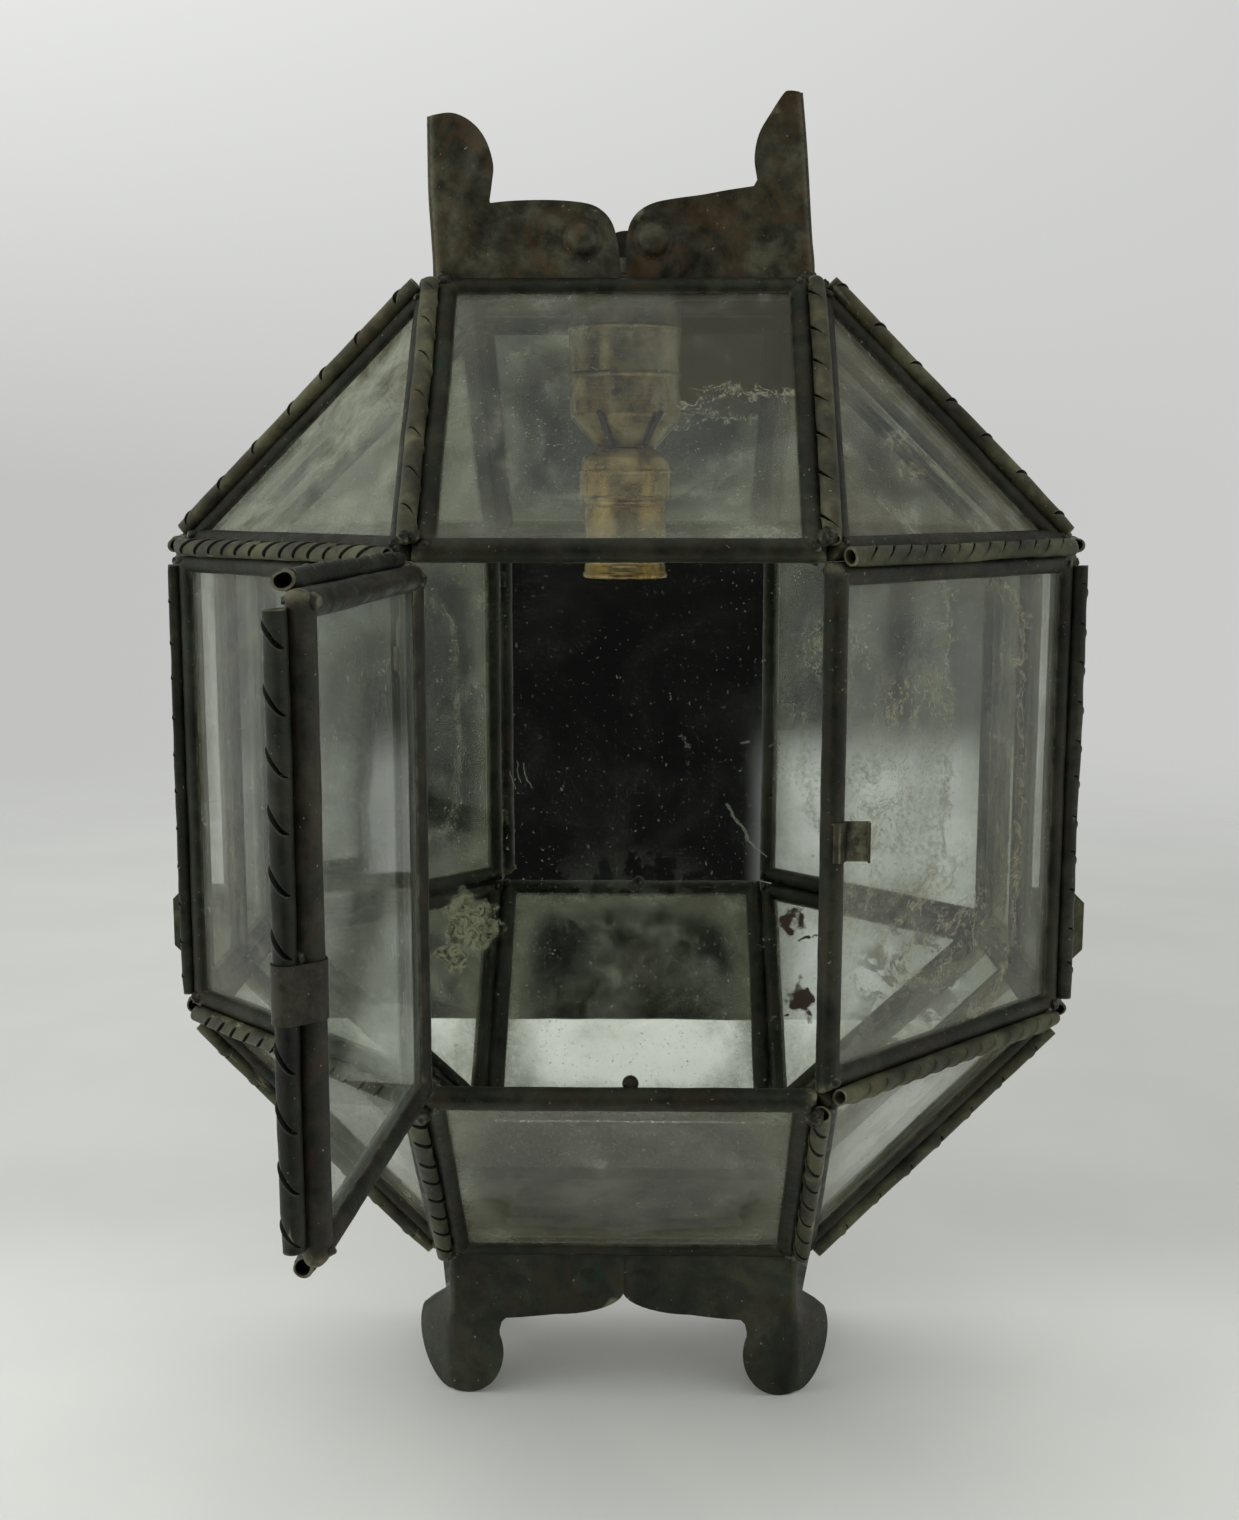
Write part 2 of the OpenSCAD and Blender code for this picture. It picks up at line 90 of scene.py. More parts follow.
def solids_of(node):
    """The corner points of each separate solid in a CAD node."""
    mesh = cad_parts[node].data
    corners = np.array([v.co[:] for v in mesh.vertices])
    points, index = np.unique(np.round(corners, 6), axis=0, return_inverse=True)
    index = index.ravel()
    edges = np.array([[index[e.vertices[0]], index[e.vertices[1]]] for e in mesh.edges])
    group = np.arange(len(points))
    while True:
        lowest = np.minimum(group[edges[:, 0]], group[edges[:, 1]])
        changed = group.copy()
        np.minimum.at(changed, edges[:, 0], lowest)
        np.minimum.at(changed, edges[:, 1], lowest)
        if np.array_equal(changed, group):
            break
        group = changed
    return [points[group == g] for g in np.unique(group)]


def rod_of(points):
    """The two ends and the radius of a straight rod, from its corner points."""
    centre = points.mean(0)
    way = np.linalg.svd(points - centre)[2][0]
    along = (points - centre) @ way
    off = points - centre - np.outer(along, way)
    radius = np.linalg.norm(off, axis=1).max()
    return centre + way * along.min(), centre + way * along.max(), radius


def pane_of(node):
    """The corners of a slab's middle plane, anticlockwise about its outward normal, and the normal."""
    points = solids_of(node)[0]
    centre = points.mean(0)
    normal = np.linalg.svd(points - centre)[2][2]
    if (centre - INSIDE) @ normal < 0:
        normal = -normal
    flat = points - np.outer((points - centre) @ normal, normal)
    corners = []
    for p in flat:
        if all(np.linalg.norm(p - q) > 1 * MM for q in corners):
            corners.append(p)
    middle = np.mean(corners, axis=0)
    x = unit(corners[0] - middle)
    y = np.cross(normal, x)
    corners.sort(key=lambda p: math.atan2((p - middle) @ y, (p - middle) @ x))
    return np.array(corners), normal


def inset(corners, normal, d):
    """The polygon with every side moved in by d."""
    moved = []
    for i, p in enumerate(corners):
        before = np.cross(normal, unit(p - corners[i - 1]))
        after = np.cross(normal, unit(corners[(i + 1) % len(corners)] - p))
        moved.append(p + d * (before + after) / (1 + before @ after))
    return np.array(moved)


def wobble(p, size, amount, seed=0.0):
    """A smooth random shift of at most about amount, which repeats over lengths of about size."""
    shift = noise.noise_vector(Vector(p) / size + Vector((seed, -seed, 2 * seed)))
    return np.array(shift) * amount


def smooth_step(x, low, high):
    t = min(1.0, max(0.0, (x - low) / (high - low)))
    return t * t * (3 - 2 * t)


# ---------------------------------------------------------------- mesh helpers
def add_object(name, data):
    made = bpy.data.objects.new(name, data)
    bpy.context.scene.collection.objects.link(made)
    return made


def make_piece(name, points, faces, material, sharp=40.0, marks=None, marked=None):
    """A mesh object, smooth but for the edges that bend more than sharp degrees.

    Faces whose place in marks is 1 take the material marked.
    """
    mesh = bpy.data.meshes.new(name)
    mesh.from_pydata([tuple(p) for p in points], [], faces)
    bm = bmesh.new()
    bm.from_mesh(mesh)
    bmesh.ops.recalc_face_normals(bm, faces=bm.faces)
    for index, face in enumerate(bm.faces):
        face.smooth = True
        if marks:
            face.material_index = marks[index]
    for edge in bm.edges:
        if len(edge.link_faces) == 2:
            edge.smooth = edge.calc_face_angle(0) < math.radians(sharp)
    bm.to_mesh(mesh)
    bm.free()
    mesh.materials.append(material)
    if marked:
        mesh.materials.append(marked)
    return add_object(name, mesh)


class Shape:
    """Points and faces gathered from several solids, and a mark for each face."""

    def __init__(self):
        self.points = []
        self.faces = []
        self.marks = []

    def add(self, points, faces, marks=None):
        start = len(self.points)
        self.points.extend(points)
        self.faces.extend([tuple(start + i for i in f) for f in faces])
        self.marks.extend(marks or [0] * len(faces))

    def piece(self, name, material, sharp, marked=None):
        return make_piece(name, self.points, self.faces, material, sharp, self.marks, marked)

    def add_rings(self, rings, caps=True, closed=False, mark=None):
        """Joins rings of equal length into a skin, with a face over each end."""
        count = len(rings[0])
        points = [p for ring in rings for p in ring]
        faces = []
        marks = []
        for r in range(len(rings) if closed else len(rings) - 1):
            here = r * count
            there = (r + 1) % len(rings) * count
            for i in range(count):
                j = (i + 1) % count
                faces.append((here + i, here + j, there + j, there + i))
                marks.append(1 if mark and mark(r, i) else 0)
        if caps:
            faces.append(tuple(range(count)))
            faces.append(tuple(range(len(points) - count, len(points))))
            marks.extend([0, 0])
        self.add(points, faces, marks)


def finish_piece(piece, body, slot, *nodes):
    """Rides the piece on its body and hides the CAD nodes that it stands for; slot, the name of its finish,
    is not used.
    """
    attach(piece, body)
    if nodes:
        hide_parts(*nodes)


# ---------------------------------------------------------------- materials
def tone(code):
    """A linear colour from a web colour code."""
    parts = [int(code[i:i + 2], 16) / 255 for i in (1, 3, 5)]
    return (*(c / 12.92 if c <= 0.04045 else ((c + 0.055) / 1.055) ** 2.4 for c in parts), 1.0)


def maths(operation):
    """A method that puts the maths node of that name on its value."""
    return lambda self, *others: self.nodes.math(operation, self, *others)


class Value:
    """A node's output, with the sums that make new nodes; a | b is the larger of the two."""

    def __init__(self, nodes, socket):
        self.nodes = nodes
        self.socket = socket

    __add__ = maths("ADD")
    __sub__ = maths("SUBTRACT")
    __mul__ = maths("MULTIPLY")
    __truediv__ = maths("DIVIDE")
    __pow__ = maths("POWER")
    __or__ = maths("MAXIMUM")
    __abs__ = maths("ABSOLUTE")

    def __rsub__(self, other):
        return self.nodes.math("SUBTRACT", other, self)

    def clamped(self):
        """This sum, kept between 0 and 1."""
        self.socket.node.use_clamp = True
        return self

    def step(self, low, high, to_low=0.0, to_high=1.0, kind="SMOOTHSTEP"):
        """A step from to_low to to_high as the value goes from low to high."""
        return self.nodes.put("ShaderNodeMapRange", {
            "Value": self, "From Min": low, "From Max": high, "To Min": to_low, "To Max": to_high,
        }, "Result", interpolation_type=kind)


class Nodes:
    """Short calls for building the node tree of a new material or world."""

    def __init__(self, owner, place="Object"):
        owner.use_nodes = True
        self.owner = owner
        self.tree = owner.node_tree
        self.tree.nodes.clear()
        self.where = self.put("ShaderNodeTexCoord", {}, place)

    def put(self, kind, inputs, output=0, **settings):
        """A new node's output; each input is a value, a number, a vector or a web colour code."""
        made = self.tree.nodes.new(kind)
        for key, value in settings.items():
            setattr(made, key, value)
        for key, value in inputs.items():
            if isinstance(value, Value):
                self.tree.links.new(value.socket, made.inputs[key])
            else:
                made.inputs[key].default_value = tone(value) if isinstance(value, str) else value
        return Value(self, made.outputs[output])

    def noise(self, scale, detail, rough, distortion=0.0, where=None):
        return self.put("ShaderNodeTexNoise", {
            "Vector": where or self.where, "Scale": scale, "Detail": detail, "Roughness": rough,
            "Distortion": distortion,
        }, "Fac")

    def math(self, operation, a, b=0.0):
        return self.put("ShaderNodeMath", {0: a, 1: b}, operation=operation)

    def parts(self, vector):
        """The vector's x, y and z."""
        node = self.put("ShaderNodeSeparateXYZ", {"Vector": vector}).socket.node
        return [Value(self, socket) for socket in node.outputs]

    def ramp(self, value, *stops):
        """The colour at value between the stops, each a place and a web colour code."""
        made = self.put("ShaderNodeValToRGB", {"Fac": value}, "Color")
        points = made.socket.node.color_ramp.elements
        while len(points) < len(stops):
            points.new(0.5)
        for point, (place, code) in zip(points, stops):
            point.position = place
            point.color = tone(code)
        return made

    def mix(self, share, a, b):
        return self.put("ShaderNodeMix", {0: share, 6: a, 7: b}, 2, data_type="RGBA")

    def bump(self, height, strength, distance):
        return self.put("ShaderNodeBump", {"Height": height, "Strength": strength, "Distance": distance})

    def surface(self, colour, roughness, metallic=0.0, normal=None):
        inputs = {"Base Color": colour, "Roughness": roughness, "Metallic": metallic}
        if normal:
            inputs["Normal"] = normal
        return self.put("ShaderNodeBsdfPrincipled", inputs)

    def mix_shader(self, share, a, b):
        return self.put("ShaderNodeMixShader", {0: share, 1: a, 2: b})

    def done(self, shader, kind="Material"):
        output = self.tree.nodes.new(f"ShaderNodeOutput{kind}")
        self.tree.links.new(shader.socket, output.inputs["Surface"])
        return self.owner


def new_material(name):
    return Nodes(bpy.data.materials.new(name))


def patina(name, tones, warm_share, green_share, metallic, rough, scale):
    """Old dark sheet metal: mottled tones, warm and green stains, rubbed edges and fine pitting.

    tones are the web codes of its dark, middle and light tones and of its warm and green stains.
    """
    n = new_material(name)
    deep, mid, light, warm, green = tones.split()
    clouds = n.noise(38 * scale, 5, 0.6, 0.6)
    mottle = n.noise(170 * scale, 7, 0.65)
    grain = n.noise(1500 * scale, 3, 0.6)
    stains = n.noise(64 * scale, 6, 0.7, 1.2)
    verdigris = n.noise(95 * scale, 8, 0.7, 0.4)
    specks = n.noise(760 * scale, 2, 0.5)
    edge = n.put("ShaderNodeNewGeometry", {}, "Pointiness")
    body = n.ramp(clouds * 0.55 + mottle * 0.45, (0.39, deep), (0.5, mid), (0.61, light))
    body = n.mix(stains.step(0.48, 0.62, 0.0, warm_share), body, warm)
    body = n.mix(verdigris.step(0.55, 0.7, 0.0, green_share), body, green)
    body = n.mix(edge.step(0.53, 0.6) * mottle.step(0.4, 0.6, 0.2, 0.7), body, RUBBED_TONE)
    body = n.mix(edge.step(0.47, 0.4, 0.0, 0.75), body, HOLLOW_TONE)
    body = n.mix(specks.step(0.71, 0.76, 0.0, 0.55), body, SPECK_TONE)
    roughness = (mottle * 0.7 + grain * 0.3).step(0.35, 0.65, *rough)
    relief = n.bump(mottle * 0.8 + grain * 0.2, 0.7, 0.45 * MM)
    return n.done(n.surface(body, roughness, metallic, relief))


def brass(name, tones, haze, rough):
    """Spun brass, dulled by age: faint turning marks round its axis, brown stains and chalky haze."""
    n = new_material(name)
    deep, mid, light = tones.split()
    stretched = n.put("ShaderNodeMapping", {"Vector": n.where, "Scale": (30, 30, 1700)})
    turning = n.noise(1.0, 3, 0.6, 0.0, stretched)
    clouds = n.noise(75, 6, 0.65, 0.5)
    stains = n.noise(420, 6, 0.7)
    body = n.ramp(clouds * 0.88 + turning * 0.12, (0.36, deep), (0.5, mid), (0.62, light))
    body = n.mix(stains.step(0.6, 0.74, 0.0, 0.35), body, "#3b2c17")
    body = n.mix(n.noise(55, 7, 0.7, 0.8).step(0.48, 0.66, 0.0, haze), body, "#a9a894")
    relief = n.bump(turning + stains, 0.12, 0.06 * MM)
    return n.done(n.surface(body, clouds.step(0.35, 0.65, *rough), 0.9, relief))


def solder_metal(name):
    """Dull grey solder with a darker crust in its hollows."""
    n = new_material(name)
    lumps = n.noise(420, 6, 0.65)
    body = n.ramp(lumps, (0.35, "#1e1f18"), (0.52, "#3a3b30"), (0.68, "#6c6c5c"))
    relief = n.bump(lumps, 0.7, 0.4 * MM)
    return n.done(n.surface(body, lumps.step(0.3, 0.7, 0.6, 0.36), 0.7, relief))


def dark_compound(name, low, high, rough):
    """Moulded insulator or lead covering, dusty and slightly mottled."""
    n = new_material(name)
    mottle = n.noise(300, 6, 0.6)
    body = n.mix(mottle.step(0.35, 0.65), low, high)
    roughness = mottle.step(0.3, 0.7, rough - 0.12, rough + 0.15)
    return n.done(n.surface(body, roughness, 0.0, n.bump(mottle, 0.4, 0.2 * MM)))


def old_glass(name, haze, film, crust, seed, dust_tone="#9c9d8a", scar=None, tide=None):
    """Thin old glass: nearly clear, with a dusty veil, a dirty border, mineral crusts and streaks.

    haze is the share that the veil hides, film the dirty border's and crust the mineral crust's. scar is
    the x of one long crusty line; tide is (least x, z) of a stained area and its crusty lower edge.
    """
    n = new_material(name)
    rim = n.put("ShaderNodeAttribute", {}, "Fac", attribute_name="rim")
    where = n.put("ShaderNodeMapping", {"Vector": n.where, "Location": (seed, 2 * seed, -seed)})
    stretched = n.put("ShaderNodeMapping", {"Vector": where, "Scale": (90, 90, 9)})
    broad = n.noise(17, 4, 0.6, 1.1, where)
    cloud = n.noise(62, 7, 0.66, 0.8, where)
    fine = n.noise(430, 6, 0.7, 0.0, where)
    streaks = n.noise(1.0, 4, 0.6, 0.4, stretched)
    veil = broad.step(0.36, 0.66, 0.25, 1.7) * haze * cloud.step(0.3, 0.7, 0.55, 1.4)
    veil = veil * streaks.step(0.35, 0.65, 0.75, 1.25)
    ragged = rim + (cloud - 0.5) * (16 * MM)
    border = ragged.step(12 * MM, -1 * MM) * film * fine.step(0.32, 0.6, 0.55, 1.0)
    patches = cloud.step(0.53, 0.6) * broad.step(0.54, 0.6) * fine.step(0.5, 0.56)
    line = abs(ragged - 17 * MM).step(3.0 * MM, 0.2 * MM)
    scale = line * fine.step(0.46, 0.56) * broad.step(0.4, 0.52)
    scale = ((scale | patches * 0.7) * crust).clamped()
    if scar:
        scale = scale | long_scar(n, cloud, fine, scar)
    if tide:
        edge, stain = tide_mark(n, cloud, fine, *tide)
        scale = scale | edge
    specks = n.noise(900, 1, 0.5, 0.0, where).step(0.73, 0.76, 0.0, 0.75)
    dust = (veil + border + scale * 0.75).clamped() | specks
    colour = n.ramp(cloud, (0.36, "#85846f"), (0.5, dust_tone), (0.64, "#b7baa9"))
    colour = n.mix(scale, colour, "#b3af96")
    if tide:
        dust = dust | stain * 0.42
        colour = n.mix(stain * (1.0 - scale), colour, "#5d5a4b")
    ripple = n.bump(n.noise(45, 2, 0.5, 0.3, where), 0.16, 0.25 * MM)
    facing = n.put("ShaderNodeLayerWeight", {"Blend": 0.5, "Normal": ripple}, "Facing")
    clear = n.put("ShaderNodeBsdfTransparent", {"Color": (0.975, 0.985, 0.97, 1)})
    gloss = n.put("ShaderNodeBsdfGlossy", {"Roughness": 0.045, "Normal": ripple})
    matt = n.put("ShaderNodeBsdfDiffuse", {"Color": colour, "Roughness": 0.4})
    lit = n.put("ShaderNodeBsdfTranslucent", {"Color": colour})
    glass = n.mix_shader(facing ** 5.0 * 0.9 + 0.045, clear, gloss)
    return n.done(n.mix_shader(dust, glass, n.mix_shader(0.45, matt, lit)))


def long_scar(n, cloud, fine, line_x):
    """A crusty line down a pane near its outer side, with lacy patches inside it."""
    x, _, z = n.parts(n.where)
    low = (-48 * MM - z) | 0.0
    high = (z - 52 * MM) | 0.0
    off = x + (cloud - 0.5) * (22 * MM) + (low * low + high * high) * 22.0 - line_x
    core = abs(off).step(1.3 * MM, 0.2 * MM) * fine.step(0.42, 0.54, 0.1, 0.75)
    cake = off.step(-17 * MM, -2 * MM) * off.step(2 * MM, 0.0) * fine.step(0.47, 0.6, 0.06, 0.5)
    threads = abs(cloud - 0.52).step(0.03, 0.005) * fine.step(0.42, 0.55, 0.1, 0.85)
    return core | cake | spots(n, n.where, LACE) * threads


def tide_mark(n, cloud, fine, least_x, height):
    """The crusty edge that a stain left across a pane, and the stained area above it."""
    x, _, z = n.parts(n.where)
    side = x.step(least_x, least_x + 5 * MM)
    level = z + (cloud - 0.5) * (34 * MM) - height
    edge = abs(level).step(1.1 * MM, 0.2 * MM) * fine.step(0.4, 0.52, 0.15, 0.85)
    area = level.step(-0.5 * MM, 1.0 * MM) * level.step(44 * MM, 22 * MM)
    return edge * side, area * side


def spots(n, where, rows):
    """1 inside ragged round spots on an upright plane, 0 outside.

    rows lists (x, z, radius, raggedness), the first three in millimetres.
    """
    x, _, z = n.parts(where)
    found = 0.0
    for middle_x, middle_z, radius, ragged in rows:
        dx = x - middle_x * MM
        dz = z - middle_z * MM
        away = n.math("SQRT", dx * dx + dz * dz)
        found = away.step(radius * (1 + ragged) * MM, radius * (1 - ragged * 0.4) * MM) | found
    return found


def scratch(n, where, a, b, width):
    """1 along a thin scratch from a to b, each (x, z) in millimetres, on an upright plane."""
    x, _, z = n.parts(where)
    way = unit(np.subtract(b, a))
    length = math.dist(a, b) * MM
    dx = x - a[0] * MM
    dz = z - a[1] * MM
    along = dx * way[0] + dz * way[1]
    across = dx * way[1] - dz * way[0]
    ends = along.step(0.0, 1.0 * MM) * along.step(length, length - 1.0 * MM)
    return abs(across).step(width * MM, 0.4 * width * MM) * ends


# The tones of metal that is rubbed bare or lies in a hollow, and of the specks on it
RUBBED_TONE = "#8d8a70"
HOLLOW_TONE = "#14140f"
SPECK_TONE = "#9a9c86"

# The right corner pane's lacy patches and the mirror's marks, as rows for spots()
LACE = [(90, 30, 13, 0.8), (101, -36, 17, 0.9)]
FLAKES = [(-60, -66, 8, 0.5), (-66, -58, 5, 0.5), (-67, -77, 4.5, 0.5), (-54, -60, 3.5, 0.5)]
BROWN_SPOTS = [(64, -62, 4.2, 0.5), (67.5, -92, 4.4, 0.5), (69, -70, 1.6, 0.5), (60, -99, 1.4, 0.5)]
BROWN_CORNER = [(108, -84, 17, 0.7), (92, -116, 14, 0.7)]
DUSTY_SPOT = [(50, 70, 22, 0.9)]
BLOTCHED_MIDDLE = [(0, -80, 42, 0.3)]
# Below this height the mirror's silver has gone brown, behind the lower front frame
FOOT_LOW = -135 * MM
# The mirror's scratches: their ends (x, z) and widths in millimetres
SCRATCHES = [
    ((37, -16), (46, -32), 0.8), ((45, -31), (54, -37), 0.5), ((41.5, 5.4), (46.5, 7.2), 0.5),
    ((-42, -1), (-39, -10), 0.3), ((-39, -2), (-36, -12), 0.3), ((-44, -5), (-41, -13), 0.25),
]


def aged_mirror(name):
    """Silvered glass with brown foxing, one flaked patch, fine specks and scratches."""
    n = new_material(name)
    shake = n.put("ShaderNodeTexNoise", {"Vector": n.where, "Scale": 130, "Detail": 5}, "Color")
    shift = n.put("ShaderNodeVectorMath", {0: shake, 1: (0.5, 0.5, 0.5)}, operation="SUBTRACT")
    warped, warped_little = (
        n.put("ShaderNodeVectorMath", {0: shift, 1: (size,) * 3, 2: n.where}, operation="MULTIPLY_ADD")
        for size in (26 * MM, 5.2 * MM)
    )
    height = n.parts(warped)[2]
    fine = n.noise(520, 6, 0.7)
    foxing = n.noise(60, 7, 0.75, 0.6).step(0.62, 0.7) * fine.step(0.45, 0.6)
    corner = spots(n, warped, BROWN_CORNER) * n.noise(105, 7, 0.7, 0.6).step(0.46, 0.52)
    foot = height.step(FOOT_LOW, FOOT_LOW - 3 * MM) * fine.step(0.38, 0.5, 0.5, 1.0)
    brown = spots(n, warped, BROWN_SPOTS) | (foxing | corner | foot) * 0.8
    dusty = n.noise(21, 3, 0.5).step(0.4, 0.6, 0.45, 0.8) | spots(n, warped, DUSTY_SPOT)
    pepper = n.noise(700, 1, 0.5).step(0.68, 0.72) * dusty
    for a, b, width in SCRATCHES:
        pepper = pepper | scratch(n, warped_little, a, b, width)
    pepper = pepper | n.noise(310, 2, 0.6).step(0.735, 0.75)
    middle = spots(n, n.where, BLOTCHED_MIDDLE) * height.step(-100 * MM, -94 * MM)
    blotches = n.noise(88, 5, 0.6).step(0.44, 0.52, 0.0, 0.09)
    bloom = n.noise(30, 5, 0.6, 0.8).step(0.4, 0.72, 0.0, 0.05) | middle * blotches
    wave = n.bump(n.noise(24, 2, 0.5), 0.12, 0.25 * MM)
    silver = n.put("ShaderNodeBsdfGlossy", {
        "Color": (0.88, 0.92, 0.87, 1), "Roughness": 0.015, "Normal": wave,
    })
    flaked = spots(n, warped, FLAKES)
    curls = n.ramp(n.noise(230, 4, 0.6, 2.2), (0.38, "#454029"), (0.48, "#7f8163"), (0.6, "#a2a688"))
    tint = n.mix(brown, n.mix(flaked, "#a7aa9a", curls), "#3a2c1c")
    cover = ((flaked * 0.72 | brown) + bloom).clamped() | pepper * 0.45
    return n.done(n.mix_shader(cover, silver, n.surface(tint, 0.45)))


# For each metal: its tones, the shares of its warm and green stains, how metallic it is, its least and
# greatest roughness, and the scale of its pattern
PATINAS = {
    "channel_metal": ("#12140d #212419 #37392b #352a18 #1c3227", 0.55, 0.5, 0.55, (0.36, 0.68), 1.0),
    "door_metal": ("#151610 #26271e #3c3c2f #402f22 #22372b", 0.5, 0.45, 0.55, (0.36, 0.68), 1.0),
    "door_roll_metal": ("#10120c #1d2018 #32352a #2b2417 #1b3026", 0.4, 0.45, 0.55, (0.42, 0.7), 1.0),
    "strip_metal": ("#22241a #3e402e #5d5e44 #4a402a #3a4a34", 0.4, 0.5, 0.45, (0.42, 0.72), 1.0),
    "dark_strip_metal": ("#171912 #282a20 #3d3f30 #332d20 #25342a", 0.35, 0.45, 0.5, (0.4, 0.7), 1.0),
    "moss_strip_metal": ("#24251a #403f2d #615f46 #46391f #3d4631", 0.5, 0.4, 0.35, (0.48, 0.78), 1.0),
    # Painted shade: a near-black patina laid on the slits' walls, where shade falls inside the rolled strips
    "slit_painted_shade": ("#0b0b08 #12120d #1d1d15 #171109 #101712", 0.5, 0.3, 0.2, (0.7, 0.9), 1.0),
    "crown_metal": ("#222318 #3d3d2f #5f5d49 #543f24 #31412f", 0.5, 0.4, 0.55, (0.36, 0.62), 0.8),
    "skirt_metal": ("#161811 #282b20 #404233 #38301c #1c382a", 0.5, 0.6, 0.5, (0.42, 0.68), 0.8),
    "plate_metal": ("#1a1a14 #2e2d24 #454436 #43372a #2b3b34", 0.5, 0.35, 0.55, (0.45, 0.75), 0.6),
    "fitting_metal": ("#100f0b #1e1c16 #343126 #352819 #202b23", 0.55, 0.25, 0.55, (0.36, 0.68), 1.0),
    "old_steel": ("#33322c #5a584e #807e71 #5d4a30 #4c5546", 0.5, 0.2, 0.85, (0.34, 0.6), 1.0),
}
# For each brass part: its dark, middle and light tones, its haze, and its least and greatest roughness
BRASSES = {
    "cup_brass": ("#5a4d30 #85764d #ab9c70", 0.6, (0.22, 0.5)),
    "socket_brass": ("#6d5730 #a58b52 #d4bd80", 0.25, (0.2, 0.42)),
    "screw_brass": ("#8a6c36 #c29e58 #dec387", 0.12, (0.18, 0.36)),
}
GLASSES = {
    "roof_glass": dict(haze=0.07, film=0.3, crust=0.3, seed=0.31, tide=(14 * MM, 129 * MM)),
    "hip_glass": dict(haze=0.34, film=0.35, crust=0.1, seed=1.7, dust_tone="#adb09f"),
    "side_glass": dict(haze=0.045, film=0.3, crust=0.35, seed=2.9),
    "crusted_glass": dict(haze=0.07, film=0.25, crust=0.5, seed=4.3, scar=131 * MM),
    "crusted_roof_glass": dict(haze=0.07, film=0.35, crust=0.6, seed=8.2, dust_tone="#8d8a76"),
    "lower_glass": dict(haze=0.1, film=0.3, crust=0.15, seed=5.1),
    "front_lower_glass": dict(haze=0.1, film=0.45, crust=0.15, seed=7.4),
    "door_pane": dict(haze=0.012, film=0.25, crust=0.05, seed=6.6, dust_tone="#8f978e"),
}


def make_materials():
    made = {name: patina(name, *row) for name, row in PATINAS.items()}
    made.update({name: brass(name, *row) for name, row in BRASSES.items()})
    made.update({name: old_glass(name, **row) for name, row in GLASSES.items()})
    made["dull_solder"] = solder_metal("dull_solder")
    made["black_insulator"] = dark_compound("black_insulator", "#171412", "#2f2924", 0.6)
    made["lead_covering"] = dark_compound("lead_covering", "#141312", "#26231f", 0.5)
    made["aged_mirror"] = aged_mirror("aged_mirror")
    return made


# ---------------------------------------------------------------- panes and channels
# The glass of the upper and middle panes; the lower ones have lower_glass
PANE_GLASS = {
    "front_roof": "roof_glass",
    "front_lower": "front_lower_glass",
    "left_corner_roof": "hip_glass",
    "left_side_roof": "hip_glass",
    "right_corner_roof": "crusted_roof_glass",
    "right_side_roof": "hip_glass",
    "left_corner": "side_glass",
    "left_side": "side_glass",
    "right_corner": "crusted_glass",
    "right_side": "side_glass",
}


def channel_section():
    """The folded channel's section: u towards the glass, w along the pane's outward normal."""
    slot = GLASS_T / 2 + 0.1 * MM
    inner = TUBE_R - TUBE_WALL
    outer_turn = math.asin(slot / TUBE_R) + 0.06
    inner_turn = math.asin(slot / inner)
    points = []
    for t in np.linspace(outer_turn, 2 * math.pi - outer_turn, 24):
        points.append((TUBE_R * math.cos(t), TUBE_R * math.sin(t)))
    points.append(((TUBE_R - 0.15 * MM) * math.cos(outer_turn), -slot))
    for t in np.linspace(2 * math.pi - inner_turn, inner_turn, 13):
        points.append((inner * math.cos(t), inner * math.sin(t)))
    points.append(((TUBE_R - 0.15 * MM) * math.cos(outer_turn), slot))
    return points


def add_channels(shape, corners, normal, seed):
    """Four or three bars of folded channel round a pane, mitred at its corners."""
    section = channel_section()
    rims = [inset(corners, normal, u - GLASS_REACH) for u, w in section]
    count = len(corners)
    for i in range(count):
        j = (i + 1) % count
        length = np.linalg.norm(corners[j] - corners[i])
        gap = 0.07 * MM / length
        steps = max(6, int(length / (3.2 * MM)))
        rings = []
        for k in range(steps + 1):
            t = gap + (1 - 2 * gap) * k / steps
            hold = math.sqrt(max(0.0, math.sin(math.pi * t)))
            ring = []
            for (u, w), rim in zip(section, rims):
                p = rim[i] * (1 - t) + rim[j] * t + normal * w
                bend = wobble(rim[i] * (1 - t) + rim[j] * t, 30 * MM, 0.35 * MM, seed)
                dent = wobble(p, 7 * MM, 0.16 * MM, seed + 5)
                loose = smooth_step(-u, -TUBE_R, TUBE_R * 0.2)
                ring.append(p + (bend * 0.6 + dent * loose) * hold)
            rings.append(ring)
        shape.add_rings(rings)


def build_channels(materials):
    """Every fixed pane's channels, one piece for each CAD frame, and the door's."""
    for index, pane in enumerate(FIXED_PANES + ["door"]):
        corners, normal = pane_of(f"{pane}_glass")
        shape = Shape()
        add_channels(shape, corners, normal, 1.3 * index)
        body, finish = ("door", "door_metal") if pane == "door" else ("lantern", "channel_metal")
        piece = shape.piece(f"{pane}_channels", materials[finish], 50)
        finish_piece(piece, body, "frame_metal", f"{pane}_frame")


